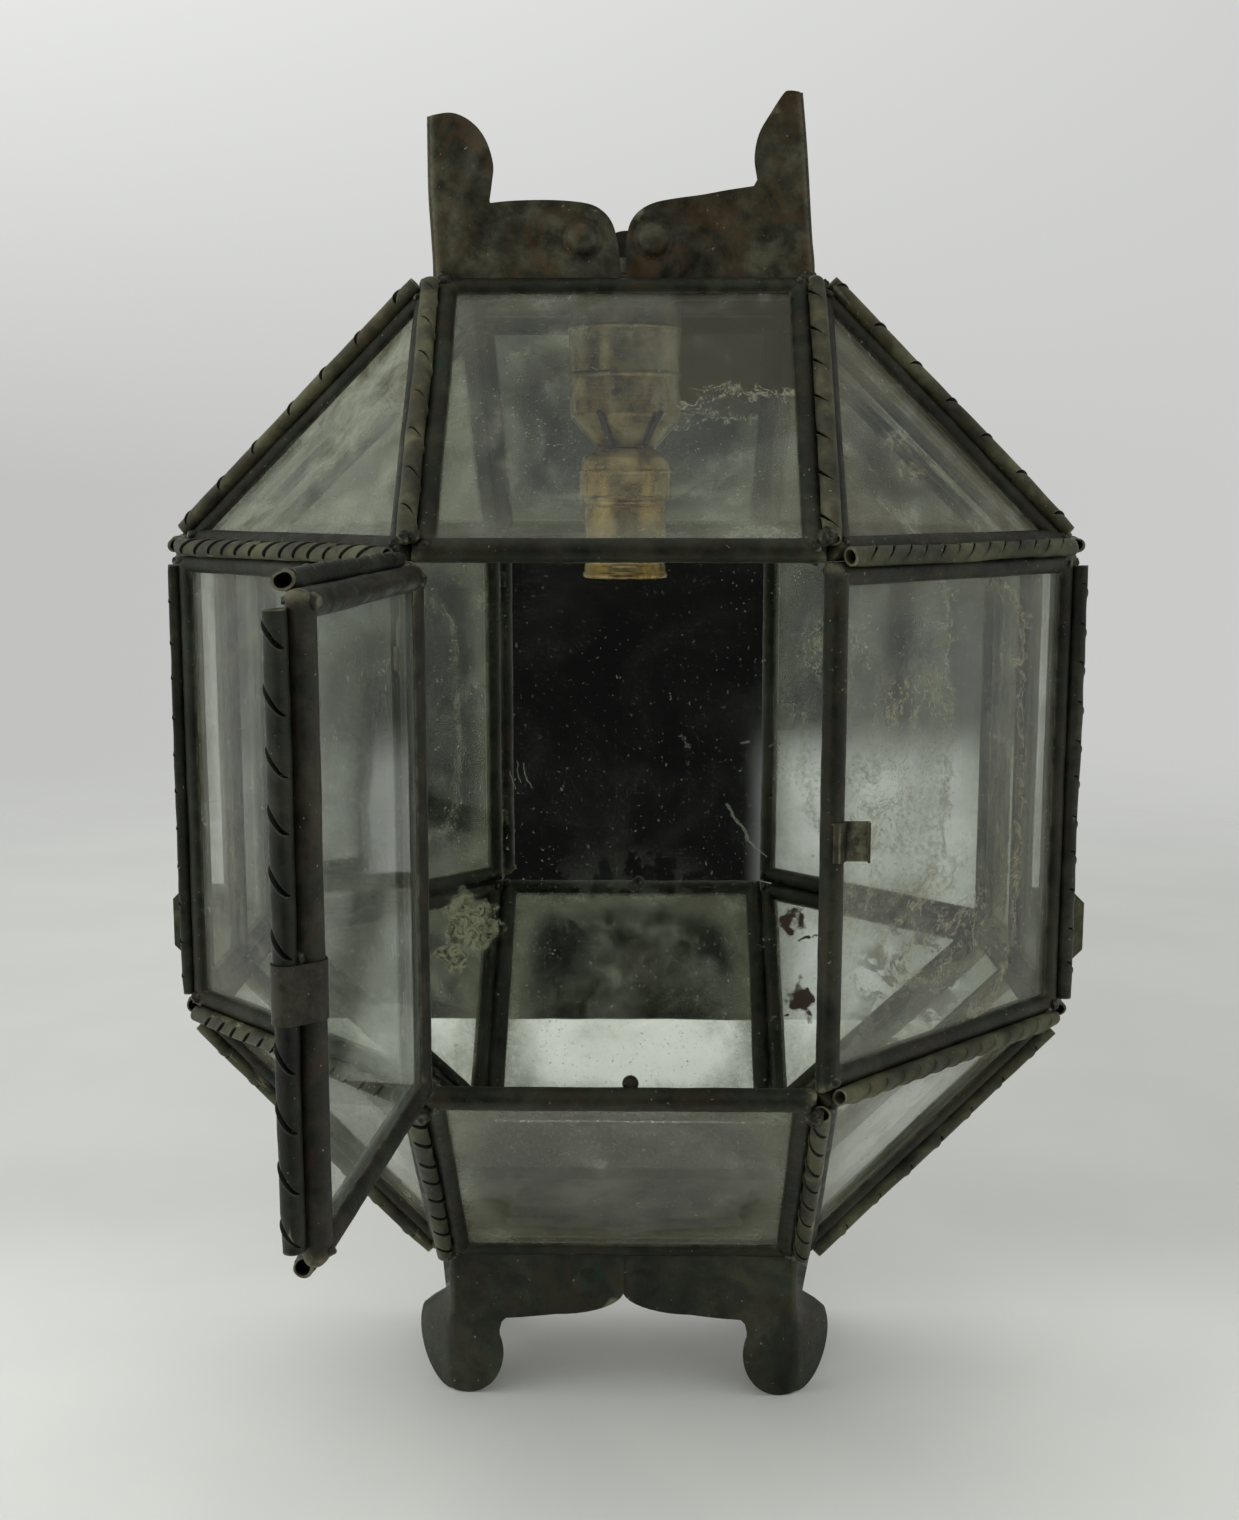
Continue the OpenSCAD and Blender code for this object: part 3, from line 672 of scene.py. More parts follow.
def fill_outline(outline, spacing, refine=()):
    """Triangles inside a flat outline: its points at spacing, then an even field of points.

    refine lists (u, v, radius, spacing) of round areas with closer points.
    """
    rim = []
    for a, b in zip(outline, outline[1:] + outline[:1]):
        steps = max(1, int(math.dist(a, b) / spacing))
        for k in range(steps):
            rim.append((a[0] + (b[0] - a[0]) * k / steps, a[1] + (b[1] - a[1]) * k / steps))
    count = len(rim)
    border = np.array(rim)
    ahead = np.roll(border, -1, axis=0)

    def inside(p, margin):
        x, y = p
        crosses = ((border[:, 1] > y) != (ahead[:, 1] > y))
        with np.errstate(divide="ignore", invalid="ignore"):
            share = (y - border[:, 1]) / (ahead[:, 1] - border[:, 1])
            at = (ahead[:, 0] - border[:, 0]) * share + border[:, 0]
        if np.count_nonzero(crosses & (x < at)) % 2 == 0:
            return False
        return np.min(np.hypot(border[:, 0] - x, border[:, 1] - y)) > margin

    field = []
    low = border.min(0)
    high = border.max(0)
    rows = int((high[1] - low[1]) / (spacing * 0.87)) + 1
    columns = int((high[0] - low[0]) / spacing) + 2
    for row in range(rows):
        for column in range(columns):
            p = (low[0] + spacing * (column + 0.5 * (row % 2)), low[1] + spacing * 0.87 * (row + 0.5))
            near = any(math.dist(p, (u, v)) < radius for u, v, radius, step in refine)
            if not near and inside(p, spacing * 0.45):
                field.append(p)
    for u, v, radius, step in refine:
        rings = int(radius / step)
        for ring in range(rings):
            around = max(1, int(2 * math.pi * ring))
            for k in range(around):
                t = 2 * math.pi * k / around + 0.3 * ring
                p = (u + ring * step * math.cos(t), v + ring * step * math.sin(t))
                if inside(p, step * 0.4):
                    field.append(p)
    edges = [(i, (i + 1) % count) for i in range(count)]
    points = [Vector(p) for p in rim + field]
    made = geometry.delaunay_2d_cdt(points, edges, [], 1, 1e-7)
    return [tuple(p) for p in made[0]], [tuple(f) for f in made[2]]


def build_pane(pane, material, body, seed):
    """A slab of old glass, faintly wavy, which stores how far each point is from its rim."""
    corners, normal = pane_of(f"{pane}_glass")
    origin = corners[0]
    x = unit(corners[1] - corners[0])
    y = np.cross(normal, x)
    outline = [((p - origin) @ x, (p - origin) @ y) for p in corners]
    flat, triangles = fill_outline(outline, 3.0 * MM)
    points = []
    rims = []
    hidden = TUBE_R - GLASS_REACH
    blend = 10 * MM
    for side in (1, -1):
        for u, v in flat:
            p = origin + x * u + y * v
            distances = []
            for a, b in zip(outline, outline[1:] + outline[:1]):
                across = (b[0] - a[0]) * (v - a[1]) - (b[1] - a[1]) * (u - a[0])
                distances.append(across / math.dist(a, b) - hidden)
            near = -blend * math.log(sum(math.exp(-d / blend) for d in distances))
            wave = noise.noise(Vector(p) / (26 * MM) + Vector((seed, 0, 0)))
            points.append(p + normal * (side * GLASS_T / 2 + 0.05 * MM * wave))
            rims.append(max(near, min(distances)) if min(distances) < 4 * MM else near)
    piece = make_piece(f"{pane}_pane", points, shell_faces(triangles, len(flat)), material, sharp=60)
    attribute = piece.data.attributes.new("rim", "FLOAT", "POINT")
    attribute.data.foreach_set("value", np.array(rims, np.float32))
    finish_piece(piece, body, "pane_glass", f"{pane}_glass")


def shell_faces(triangles, half):
    """The faces of a thin shell: the triangles on both its skins and a band along its rim.

    The second skin's points are those of the first, half places on.
    """
    seen = {}
    for t in triangles:
        for edge in zip(t, t[1:] + t[:1]):
            seen.setdefault(tuple(sorted(edge)), []).append(edge)
    rim = [edges[0] for edges in seen.values() if len(edges) == 1]
    under = [tuple(half + i for i in reversed(t)) for t in triangles]
    return triangles + under + [(b, a, half + a, half + b) for a, b in rim]


def build_panes(materials):
    for index, pane in enumerate(FIXED_PANES):
        build_pane(pane, materials[PANE_GLASS.get(pane, "lower_glass")], "lantern", 3.7 * index)
    build_pane("door", materials["door_pane"], "door", 50.0)


# ---------------------------------------------------------------- rolled strips with snipped slits
# The lines of points across one slit: place along the roll, height, and 1 where the painted shade on its
# walls starts
SLIT_LINES = [
    (-1.9, 0.0, 0), (-1.2, 0.12, 0), (-0.86, 0.34, 0), (-0.7, 0.2, 1), (-0.62, -1.9, 1),
    (0.62, -1.9, 1), (0.72, -0.3, 0), (0.95, -0.12, 0), (1.9, 0.0, 0),
]


def strip_columns(length, pitch, rng):
    """Lines of points along a strip: place, shift and height in a slit, and whether the painted shade on its
    walls starts.
    """
    ends = 5.0 * MM
    count = max(1, int((length - 2 * ends) / pitch) + 1)
    first = (length - (count - 1) * pitch) / 2
    columns = [(0.0, 0.0, 0.0, 0), (0.6 * MM, 0.0, 0.0, 0), (2.0 * MM, 0.0, 0.0, 0)]
    for k in range(count):
        at = first + k * pitch + rng.uniform(-0.05, 0.05) * pitch
        wide = rng.uniform(0.8, 1.15) * min(1.0, pitch / (6.5 * MM))
        columns.extend([(at, off * wide * MM, lift * MM, inside) for off, lift, inside in SLIT_LINES])
        if k < count - 1 and pitch > 7 * MM:
            columns.extend([(at + pitch * part, 0.0, 0.0, 0) for part in (0.36, 0.5, 0.64)])
    columns.extend([(length - d * MM, 0.0, 0.0, 0) for d in (2.0, 0.6, 0.0)])
    return columns


def add_strip(shape, a, b, radius, out, pitch, rng, seed, flat):
    """One rolled strip from a to b, slit across its outward side, with open, slightly crushed ends.

    flat is the share of its outward half that is pressed in.
    """
    around = 40
    length = np.linalg.norm(b - a)
    way = unit(b - a)
    e1 = unit(out - (out @ way) * way)
    e2 = np.cross(way, e1)
    lean = 3.6 * MM
    half = 1.5
    bore = radius - 0.7 * MM
    angles = [2 * math.pi * j / around - math.pi for j in range(around)]
    opened = [max(0.0, 1 - (t / half) ** 2) ** 0.75 for t in angles]
    crushed = rng.uniform(0, math.pi)

    def point(along, angle, r):
        near_end = 1 - smooth_step(min(along, length - along), 0, 6 * MM)
        squeeze = 1 - 0.2 * near_end * math.cos(angle - crushed) ** 2
        press = 1 - flat * max(0.0, math.cos(angle))
        return a + way * along + (e1 * math.cos(angle) * press + e2 * math.sin(angle)) * r * squeeze

    rings = [[point(d, t, bore) for t in angles] for d in (5.0 * MM, 2.5 * MM, 0.1 * MM)]
    # dark marks the rings whose bands across the slits take the painted shade material
    dark = [0] * len(rings)
    for at, off, lift, inside in strip_columns(length, pitch, rng):
        ring = []
        for t, gate in zip(angles, opened):
            along = at + off * (0.1 + 0.9 * gate)
            hold = smooth_step(along, 0.5 * MM, 6 * MM) * smooth_step(length - along, 0.5 * MM, 6 * MM)
            place = along - lean * math.sin(t) * hold
            depth = lift * min(1.0, 2.2 * gate)
            p = point(place, t, radius + depth)
            ring.append(p + wobble(p, 9 * MM, 0.22 * MM, seed) + wobble(p, 40 * MM, 0.4 * MM, seed + 3))
        rings.append(ring)
        dark.append(inside)
    rings.extend([[point(length - d, t, bore) for t in angles] for d in (0.1 * MM, 2.5 * MM, 5.0 * MM)])
    dark.extend([0, 0, 0])
    shape.add_rings(rings, mark=lambda r, i: dark[r] and opened[i] > 0.15)


def build_strips(part, material, slit_shade, pitch, outward, press, rng, seed):
    """The rolled strips of one CAD node.

    pitch gives the slit spacing from a rod's ends; outward and press give the slit side and the
    pressed-in share from its middle.
    """
    shape = Shape()
    for index, points in enumerate(solids_of(f"{part}_strips")):
        a, b, radius = rod_of(points)
        if (b - a) @ np.array([1.0, 0.3, 0.6]) < 0:
            a, b = b, a
        middle = (a + b) / 2
        add_strip(shape, a, b, radius, outward(middle), pitch(a, b), rng, seed + index, press(middle))
    # The second material is painted shade, near black, on the slits' walls
    piece = shape.piece(f"{part}_rolls", material, 48, slit_shade)
    finish_piece(piece, "door" if part == "door" else "lantern", "strip_metal", f"{part}_strips")


def build_all_strips(materials):
    half_w = 70 * MM

    def pitch_of(front, side=None):
        """The slit spacing in millimetres, on the strips in front and on those at the sides."""
        return lambda a, b: (side if side and max(abs(a[0]), abs(b[0])) >= half_w else front) * MM

    def away(middle):
        return middle - INSIDE

    def hip_side(middle):
        """The slits of the front hips face the front panes, and those of the rear hips face outwards."""
        if abs(middle[0]) < half_w + 20 * MM and middle[1] < -80 * MM:
            return np.array([-0.75 * np.sign(middle[0]), -1.0, 0.0])
        return away(middle)

    def door_side(middle):
        """The slits of the free edge face the front with the door open, and the others up or down."""
        if abs(middle[2]) < 50 * MM:
            return np.array([-0.75, -1.0, 0.0])
        return np.array([-0.4, -0.3, math.copysign(1.0, middle[2])])

    def round_roll(middle):
        return 0.0

    def door_pressed(middle):
        return 0.13

    def left_pressed(middle):
        return 0.55 if middle[0] < 0 else 0.1

    rng = np.random.default_rng(11)
    for part, finish, pitch, outward, press, seed in (
        ("upper_girdle", "strip_metal", pitch_of(8.2), away, round_roll, 1),
        ("lower_girdle", "strip_metal", pitch_of(8.2), away, round_roll, 11),
        ("roof_hip", "moss_strip_metal", pitch_of(16, 17), hip_side, round_roll, 21),
        ("lower_hip", "strip_metal", pitch_of(13.5, 15), hip_side, round_roll, 31),
        ("corner", "dark_strip_metal", pitch_of(13), away, left_pressed, 41),
        ("door", "door_roll_metal", pitch_of(13.8), door_side, door_pressed, 51),
    ):
        build_strips(part, materials[finish], materials["slit_painted_shade"], pitch, outward, press, rng, seed)


# ---------------------------------------------------------------- solder
def add_blob(shape, centre, size, rng, seed):
    """A small lump of solder, flattened and uneven."""
    bm = bmesh.new()
    bmesh.ops.create_icosphere(bm, subdivisions=3, radius=1.0)
    turn = rng.uniform(0.75, 1.25, 3)
    points = []
    for v in bm.verts:
        direction = np.array(v.co[:])
        lump = 1 + 0.28 * noise.noise(Vector(direction * 1.4) + Vector((seed, 0, seed)))
        points.append(centre + direction * turn * size * lump)
    shape.add(points, [tuple(v.index for v in f.verts) for f in bm.faces])
    bm.free()


def build_solder(materials):
    """Solder where the channels meet at each pane's corners, and larger lumps where seams meet."""
    rng = np.random.default_rng(23)
    door_top = max(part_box("door_frame")[1][2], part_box("door_strips")[1][2]) + 0.3 * MM
    for body, panes in (("lantern", FIXED_PANES), ("door", ["door"])):
        shape = Shape()
        for index, pane in enumerate(panes):
            corners, normal = pane_of(f"{pane}_glass")
            axis = inset(corners, normal, -GLASS_REACH)
            seams = inset(corners, normal, -GLASS_REACH - 3.2 * MM)
            for k, p in enumerate(axis):
                inner = unit(corners.mean(0) - p)
                for side in (1, -1):
                    place = p + normal * side * (TUBE_R - 0.5 * MM) + inner * rng.uniform(-1.5, 1.0) * MM
                    size = rng.uniform(1.2, 2.0) * MM
                    add_blob(shape, place, size, rng, 7.1 * index + k)
                if pane in ("front_roof", "front_lower"):
                    for step in range(3):
                        shift = wobble(seams[k] + 0.01 * step, 5 * MM, 3 * MM, step)
                        place = seams[k] + normal * 1.5 * MM + shift
                        size = rng.uniform(1.9, 2.7) * MM
                        clear = door_top + 1.3 * size
                        if abs(place[2]) < clear:
                            place[2] = math.copysign(clear, place[2])
                        add_blob(shape, place, size, rng, 3.3 * step + k)
        if body == "door":
            add_clip_solder(shape, rng)
        piece = shape.piece(f"{body}_solder", materials["dull_solder"], 80)
        finish_piece(piece, body, "frame_metal")


def add_clip_solder(shape, rng):
    """The lump that fixes the clip to the door's free edge."""
    low, high = (np.array(p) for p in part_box("door_clip"))
    top = np.array([(low[0] + high[0]) / 2, low[1] + 0.45 * (high[1] - low[1]), high[2]])
    for shift in ((0.0, 0.0, 0.6), (-2.4, 0.6, 1.0), (1.8, 0.4, 1.8)):
        add_blob(shape, top + np.array(shift) * MM, rng.uniform(1.5, 2.3) * MM, rng, shift[2])


# ---------------------------------------------------------------- crown, skirt and feet
def ellipse_arc(cu, cv, ru, rv, start, end, steps):
    turns = [math.radians(start + (end - start) * k / steps) for k in range(steps + 1)]
    return [(cu + ru * math.cos(t), cv + rv * math.sin(t)) for t in turns]


def build_sheet(name, node, outline, place, boss, material):
    """A bent sheet with a pressed boss: place(u, v, r) gives the point r proud of its middle at (u, v).

    boss is the place, radius and height of the boss: (u, v, radius, height).
    """
    boss_u, boss_v, radius, height = boss
    closer = (boss_u, boss_v, 7.2 * MM, 0.8 * MM)
    flat, triangles = fill_outline(outline, 2.0 * MM, [closer])
    points = []
    for side in (0.5, -0.5):
        for u, v in flat:
            away = math.hypot(u - boss_u, v - boss_v) / radius
            lift = height * max(0.0, 1 - away * away) ** 0.75
            lift -= 0.25 * height * math.exp(-((away - 1.15) / 0.16) ** 2)
            points.append(place(u, v, side * SHEET_T + lift))
    piece = make_piece(name, points, shell_faces(triangles, len(flat)), material, sharp=50)
    soften(piece, 0.18, 55)
    finish_piece(piece, "lantern", "crown_metal", node)


def soften(obj, width, angle):
    """Rounds the edges that bend more than angle degrees, to width millimetres."""
    bevel = obj.modifiers.new("edge", "BEVEL")
    bevel.width = width * MM
    bevel.segments = 2
    bevel.limit_method = "ANGLE"
    bevel.angle_limit = math.radians(angle)


def fold(u, radius):
    """Where a sheet folded square round a corner lies in plan, and its outward normal.

    u is the length along the sheet from the corner: positive along the front, negative back along
    the side. The answer is (sideways, back, normal sideways, normal back).
    """
    arc = radius * math.pi / 2
    if u > arc / 2:
        return u - arc / 2 + radius, 0.0, 0.0, -1.0
    if u < -arc / 2:
        return 0.0, -u - arc / 2 + radius, -1.0, 0.0
    t = (u + arc / 2) / radius
    return radius - radius * math.cos(t), radius - radius * math.sin(t), -math.cos(t), -math.sin(t)


def smooth_line(points, steps=5):
    """A smooth curve through the points, with steps stretches between each two."""
    knots = [np.array(p, float) * MM for p in points]
    knots = [2 * knots[0] - knots[1]] + knots + [2 * knots[-1] - knots[-2]]
    curve = []
    for a, b, c, d in zip(knots, knots[1:], knots[2:], knots[3:]):
        for k in range(steps):
            t = k / steps
            curve.append(0.5 * (2 * b + (c - a) * t + (2 * a - 5 * b + 4 * c - d) * t ** 2
                                + (3 * b - a - 3 * c + d) * t ** 3))
    return [tuple(p) for p in curve] + [tuple(knots[-2])]


# The crown's edges in millimetres from the corner and from the roof: along the collar from the middle
# slit, then up round the leaf to the corner
LEFT_COLLAR = [(60.8, 0), (60.5, 5), (59.9, 11), (58.6, 16.6), (56, 20.4), (51.8, 22.9), (45, 24),
               (36, 24.4), (26, 24.2), (19, 23.6)]
LEFT_LEAF = [(18.9, 24.6), (19.9, 29.8), (20.6, 35.6), (18.6, 42.8), (14.2, 48.4), (7.8, 51.5), (0, 50.6)]
RIGHT_COLLAR = [(60.8, 0), (60.5, 5), (59.8, 11), (58.2, 16.8), (55, 20.8), (50, 23.4), (43, 24.8),
                (34, 26), (26, 27.4), (17.4, 28.6)]
RIGHT_LEAF = [(16.2, 30.4), (16.7, 37), (14.8, 44.4), (10.6, 50.9), (6.2, 56.8), (4.2, 57.9), (0, 57.4)]


def build_crown_piece(name, node, mirrored, collar, leaf, boss_u, lean, material):
    """Half of the crown: a sheet folded round the neck's corner, with a tall leaf on the fold."""
    low, high = (np.array(p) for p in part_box(node))
    corner_x = high[0] if mirrored else low[0]
    front_y = low[1] + 1.6 * MM
    base_z = low[2]
    depth = high[1] - front_y
    top = leaf[-1][1] * MM
    leaf_side = [(-0.92 * u, v) for u, v in leaf]
    join = leaf_side[0]
    back_edge = [(join[0] - 1, join[1] - 1.2), (-30, leaf[0][1] - 1.4), (-depth / MM + 4, leaf[0][1] - 1.8)]
    front_edge = smooth_line(collar) + smooth_line(leaf)
    side_edge = smooth_line(leaf_side[::-1])[1:] + smooth_line(back_edge)
    outline = front_edge + side_edge + [(-depth, leaf[0][1] * MM - 3 * MM), (-depth, 0.0)]
    outline = [p for i, p in enumerate(outline) if math.dist(p, outline[i - 1]) > 0.05 * MM][::-1]
    away = 1.0 if mirrored else -1.0
    seed = 9.0 if mirrored else 2.0

    def place(u, v, proud):
        sideways, back, out_x, out_y = fold(u, 1.4 * MM)
        rise = smooth_step(v, 16 * MM, top)
        twist = noise.noise(Vector((u * 22, v * 22, seed)))
        buckle = 1.0 * MM * twist * smooth_step(v, 4 * MM, 30 * MM)
        crease = (v - 4 * MM - 1.9 * abs(u)) / (7 * MM)
        buckle += 1.3 * MM * math.exp(-crease * crease) * smooth_step(abs(u), 2 * MM, 12 * MM)
        edge = smooth_step(abs(u), 0, 20 * MM)
        curl = 3.0 * MM * rise * edge * edge
        x = corner_x - away * (sideways - (proud + buckle) * out_x)
        x += away * lean * v / top * smooth_step(v, 0, 12 * MM)
        y = front_y + back + (proud + buckle) * out_y
        y -= curl if u > 0 else 0.2 * curl
        return np.array([x, y, base_z + v])

    boss = (boss_u, 12.3 * MM, 5.6 * MM, 2.9 * MM)
    build_sheet(name, node, outline, place, boss, material)


def build_crown(materials):
    build_crown_piece("left_crown_sheet", "crown_left", False, LEFT_COLLAR, LEFT_LEAF, 48.5 * MM,
                      1.4 * MM, materials["crown_metal"])
    build_crown_piece("right_crown_sheet", "crown_right", True, RIGHT_COLLAR, RIGHT_LEAF, 51 * MM,
                      -4.4 * MM, materials["crown_metal"])


def build_skirt_piece(name, node, mirrored, boss_u, material):
    """Half of the skirt: a sheet folded round the neck's corner, with a round leaf as its foot."""
    low, high = (np.array(p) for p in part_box(node))
    corner_x = 61.4 * MM * (1 if mirrored else -1)
    away = 1.0 if mirrored else -1.0
    front_y = -68.4 * MM
    top_z = high[2]
    band = 24 * MM
    leaf_u, leaf_ru, leaf_rv = 5 * MM, 13.6 * MM, 15.6 * MM
    leaf_v = -(top_z - low[2]) + leaf_rv
    front = abs(corner_x) - 0.02 * MM
    depth = high[1] - front_y
    cut = math.degrees(math.acos(-leaf_u / leaf_ru))
    lobe = ellipse_arc(leaf_u, leaf_v, leaf_ru, leaf_rv, 25, -cut, 20)
    half = (
        [(front, 0.0)]
        + [(front - 24 * MM + u, v) for u, v in ellipse_arc(0, -14 * MM, 24 * MM, band - 15 * MM, 0, -90, 10)]
        + smooth_line([(36, -23.2), (26, -24.2), (19.5, -24.6)], 3)[1:]
        + smooth_line([(18.0, -26), (17.3, -28.8)], 3)
        + lobe
    )
    wide = 1.3
    side = [(-u * wide, v) for u, v in reversed(lobe)] + [(-(leaf_u + leaf_ru) * wide + 2 * MM, -band)]
    side += [(-depth, -band), (-depth, 0.0)]
    outline = half[::-1] + side[::-1]
    outline = [p for i, p in enumerate(outline) if math.dist(p, outline[i - 1]) > 0.05 * MM]
    splay = math.radians(32)
    seed = 13.0 if mirrored else 4.0

    def place(u, v, proud):
        sideways, back, out_x, out_y = fold(u, 1.4 * MM)
        below = smooth_step(-v, band * 0.86, band * 1.25)
        buckle = 0.7 * MM * noise.noise(Vector((u * 25, v * 25, seed)))
        x = sideways + (proud + buckle) * out_x
        y = back + (proud + buckle) * out_y
        if u < 0:
            angle = splay * below
            x += math.sin(angle) * u
            y += (1 - math.cos(angle)) * u
        flare = 1.6 * MM * below * smooth_step(abs(u), 0, 16 * MM)
        return np.array([corner_x - away * x, front_y + y - (flare if u > 0 else 0), top_z + v])

    boss = (boss_u, -12 * MM, 5.2 * MM, 1.5 * MM)
    build_sheet(name, node, outline, place, boss, material)


def build_skirt(materials):
    build_skirt_piece("left_skirt_sheet", "skirt_left", False, 48.5 * MM, materials["skirt_metal"])
    build_skirt_piece("right_skirt_sheet", "skirt_right", True, 54 * MM, materials["skirt_metal"])


# ---------------------------------------------------------------- lamp
# The screw thread's pitch in millimetres
THREAD_PITCH = 3.63


def lathe(name, profile, centre, top, material, node, slot, around=72, sharp=32):
    """A turned piece round a closed section: profile lists (radius, depth below top) in millimetres.

    A third entry is the height of the screw thread's wave there.
    """
    turns = [2 * math.pi * k / around for k in range(around)]
    rings = []
    for r, d, *wave in profile:
        ring = []
        for t in turns:
            radius = r * MM
            if wave:
                radius += wave[0] * math.cos(2 * math.pi * d / THREAD_PITCH + t) * MM
            x = centre[0] + radius * math.cos(t)
            y = centre[1] + radius * math.sin(t)
            ring.append(np.array([x, y, top - d * MM]))
        rings.append(ring)
    shape = Shape()
    shape.add_rings(rings, caps=False, closed=True)
    finish_piece(shape.piece(name, material, sharp), "lantern", slot, node)


def rounded(profile, radius, steps):
    """The profile with each sharp corner rounded by a small radius, in millimetres."""
    made = []
    count = len(profile)
    for i, p in enumerate(profile):
        before = np.array(profile[i - 1], float)
        here = np.array(p, float)
        after = np.array(profile[(i + 1) % count], float)
        to_before = before - here
        to_after = after - here
        reach = min(radius, np.linalg.norm(to_before) * 0.45, np.linalg.norm(to_after) * 0.45)
        a = here + unit(to_before) * reach
        b = here + unit(to_after) * reach
        for k in range(steps + 1):
            t = k / steps
            made.append(tuple((1 - t) ** 2 * a + 2 * t * (1 - t) * here + t * t * b))
    return made


def build_lamp(materials):
    low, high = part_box("canopy_cup")
    centre = ((low[0] + high[0]) / 2, (low[1] + high[1]) / 2)
    top = high[2]
    r = 19.3
    cup = [
        (r, 0), (r, 12.6), (r + 0.35, 13.0), (r + 0.35, 13.6), (r, 14), (r, 28.2), (r + 0.45, 28.7),
        (r + 0.5, 29.3), (r + 0.2, 29.8), (r, 30.2), (r, 42.2), (r - 0.5, 43.4), (r - 3.4, 46.8),
        (r - 6.4, 50.2), (r - 9.3, 53.4), (5.3, 53.4), (5.3, 52.6), (r - 9.8, 52.6), (r - 1.1, 42.8),
        (r - 0.9, 42), (r - 0.9, 0),
    ]
    cup_brass = materials["cup_brass"]
    socket_brass = materials["socket_brass"]
    lathe("cup_shell", rounded(cup, 0.2, 2), centre, top, cup_brass, "canopy_cup", "lamp_brass")
    cap = [(5.1, 53.8), (8, 53.8)]
    cap += [(8 + 7.6 * math.sin(t), 61.2 - 7.4 * math.cos(t)) for t in np.linspace(0.2, math.pi / 2, 8)]
    cap += [(16.3, 61.5), (16.4, 62.1), (16.0, 62.5), (16.0, 70.2), (16.4, 70.6), (16.4, 71.4), (15.4, 71.4)]
    cap += [(15.3, 62)]
    cap += [(8 + 6.8 * math.sin(t), 61.3 - 6.7 * math.cos(t)) for t in np.linspace(math.pi / 2, 0.2, 8)]
    cap += [(5.1, 54.6)]
    lathe("socket_dome", rounded(cap, 0.15, 2), centre, top, socket_brass, "socket_cap", "lamp_brass")
    shell = [
        (14.25, 64.5), (14.25, 72.4), (14.05, 72.8), (14.05, 73.6), (14.25, 74), (14.25, 92.6),
        (14.0, 93.2), (14.0, 93.9), (14.3, 94.5), (14.3, 96.2), (14.85, 96.8), (14.9, 97.9),
        (14.5, 98.5), (13.8, 98.4), (13.75, 97.2), (13.75, 64.5),
    ]
    lathe("socket_barrel", rounded(shell, 0.15, 2), centre, top, socket_brass, "socket_shell", "lamp_brass",
          around=96)
    build_thread(centre, top, materials["screw_brass"])
    insulator = [
        (0.02, 64.5), (13.3, 64.5), (13.6, 64.9), (13.6, 71.1), (13.3, 71.5), (8.5, 71.5), (8.2, 70.8),
        (4.4, 70.8), (4.2, 71.5), (3.4, 71.6), (3.2, 73.0), (0.02, 73.0),
    ]
    lathe("socket_disc", rounded(insulator, 0.2, 2), centre, top, materials["black_insulator"],
          "socket_insulator", "insulator")


def build_thread(centre, top, material):
    """The socket's screw shell: thin brass rolled into a round thread."""
    rows = 66
    outer = []
    inner = []
    for k in range(rows + 1):
        hold = smooth_step(k / rows, 0.0, 0.08) * smooth_step(1 - k / rows, 0.0, 0.08)
        depth = 73.1 + 23.3 * k / rows
        outer.append((13.33, depth, 0.28 * hold))
        inner.append((13.1, depth, 0.8 * 0.28 * hold))
    profile = outer + inner[::-1]
    lathe("socket_thread", profile, centre, top, material, "screw_shell", "screw_brass", sharp=60)


# ---------------------------------------------------------------- CAD nodes that stay
def build_stud(materials):
    """The round-headed stud on the sill that the door shuts against."""
    low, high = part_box("door_stop")
    centre = ((low[0] + high[0]) / 2, (low[1] + high[1]) / 2)
    stem = (high[0] - low[0]) / 2 / MM
    height = (high[2] - low[2]) / MM
    head = 2.5
    drop = 1.4
    profile = [(0.02, drop)]
    profile += [(head * math.sin(t), drop + head - head * math.cos(t)) for t in np.linspace(0.15, 2.6, 16)]
    profile += [(stem, drop + 2 * head), (stem, height), (0.02, height)]
    lathe("sill_stud", profile, centre, high[2], materials["fitting_metal"], "door_stop", "frame_metal", 32)


# The finish of each CAD node that stays and the width that its edges are softened to, in millimetres
KEPT = {
    "back_plate": ("plate_metal", 0.25),
    "top_plate": ("plate_metal", 0.25),
    "base_plate": ("plate_metal", 0.25),
    "rear_feet": ("plate_metal", 0.25),
    "wall_ears": ("strip_metal", 0.3),
    "mirror": ("aged_mirror", 0),
    "lamp_nipple": ("old_steel", 0.2),
    "wire_leads": ("lead_covering", 0.15),
    "jamb_knuckles": ("fitting_metal", 0.12),
    "door_knuckles": ("fitting_metal", 0.12),
    "door_clip": ("fitting_metal", 0.12),
    "catch_plate": ("fitting_metal", 0.12),
    "hinge_pins": ("old_steel", 0.15),
}


def finish_kept_nodes(materials):
    """Gives the CAD nodes that stay a finished material and softened edges."""
    for node, (finish, width) in KEPT.items():
        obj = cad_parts[node]
        obj.data.materials.clear()
        obj.data.materials.append(materials[finish])
        weld = obj.modifiers.new("weld", "WELD")
        weld.merge_threshold = 0.002 * MM
        if width:
            soften(obj, width, 38)


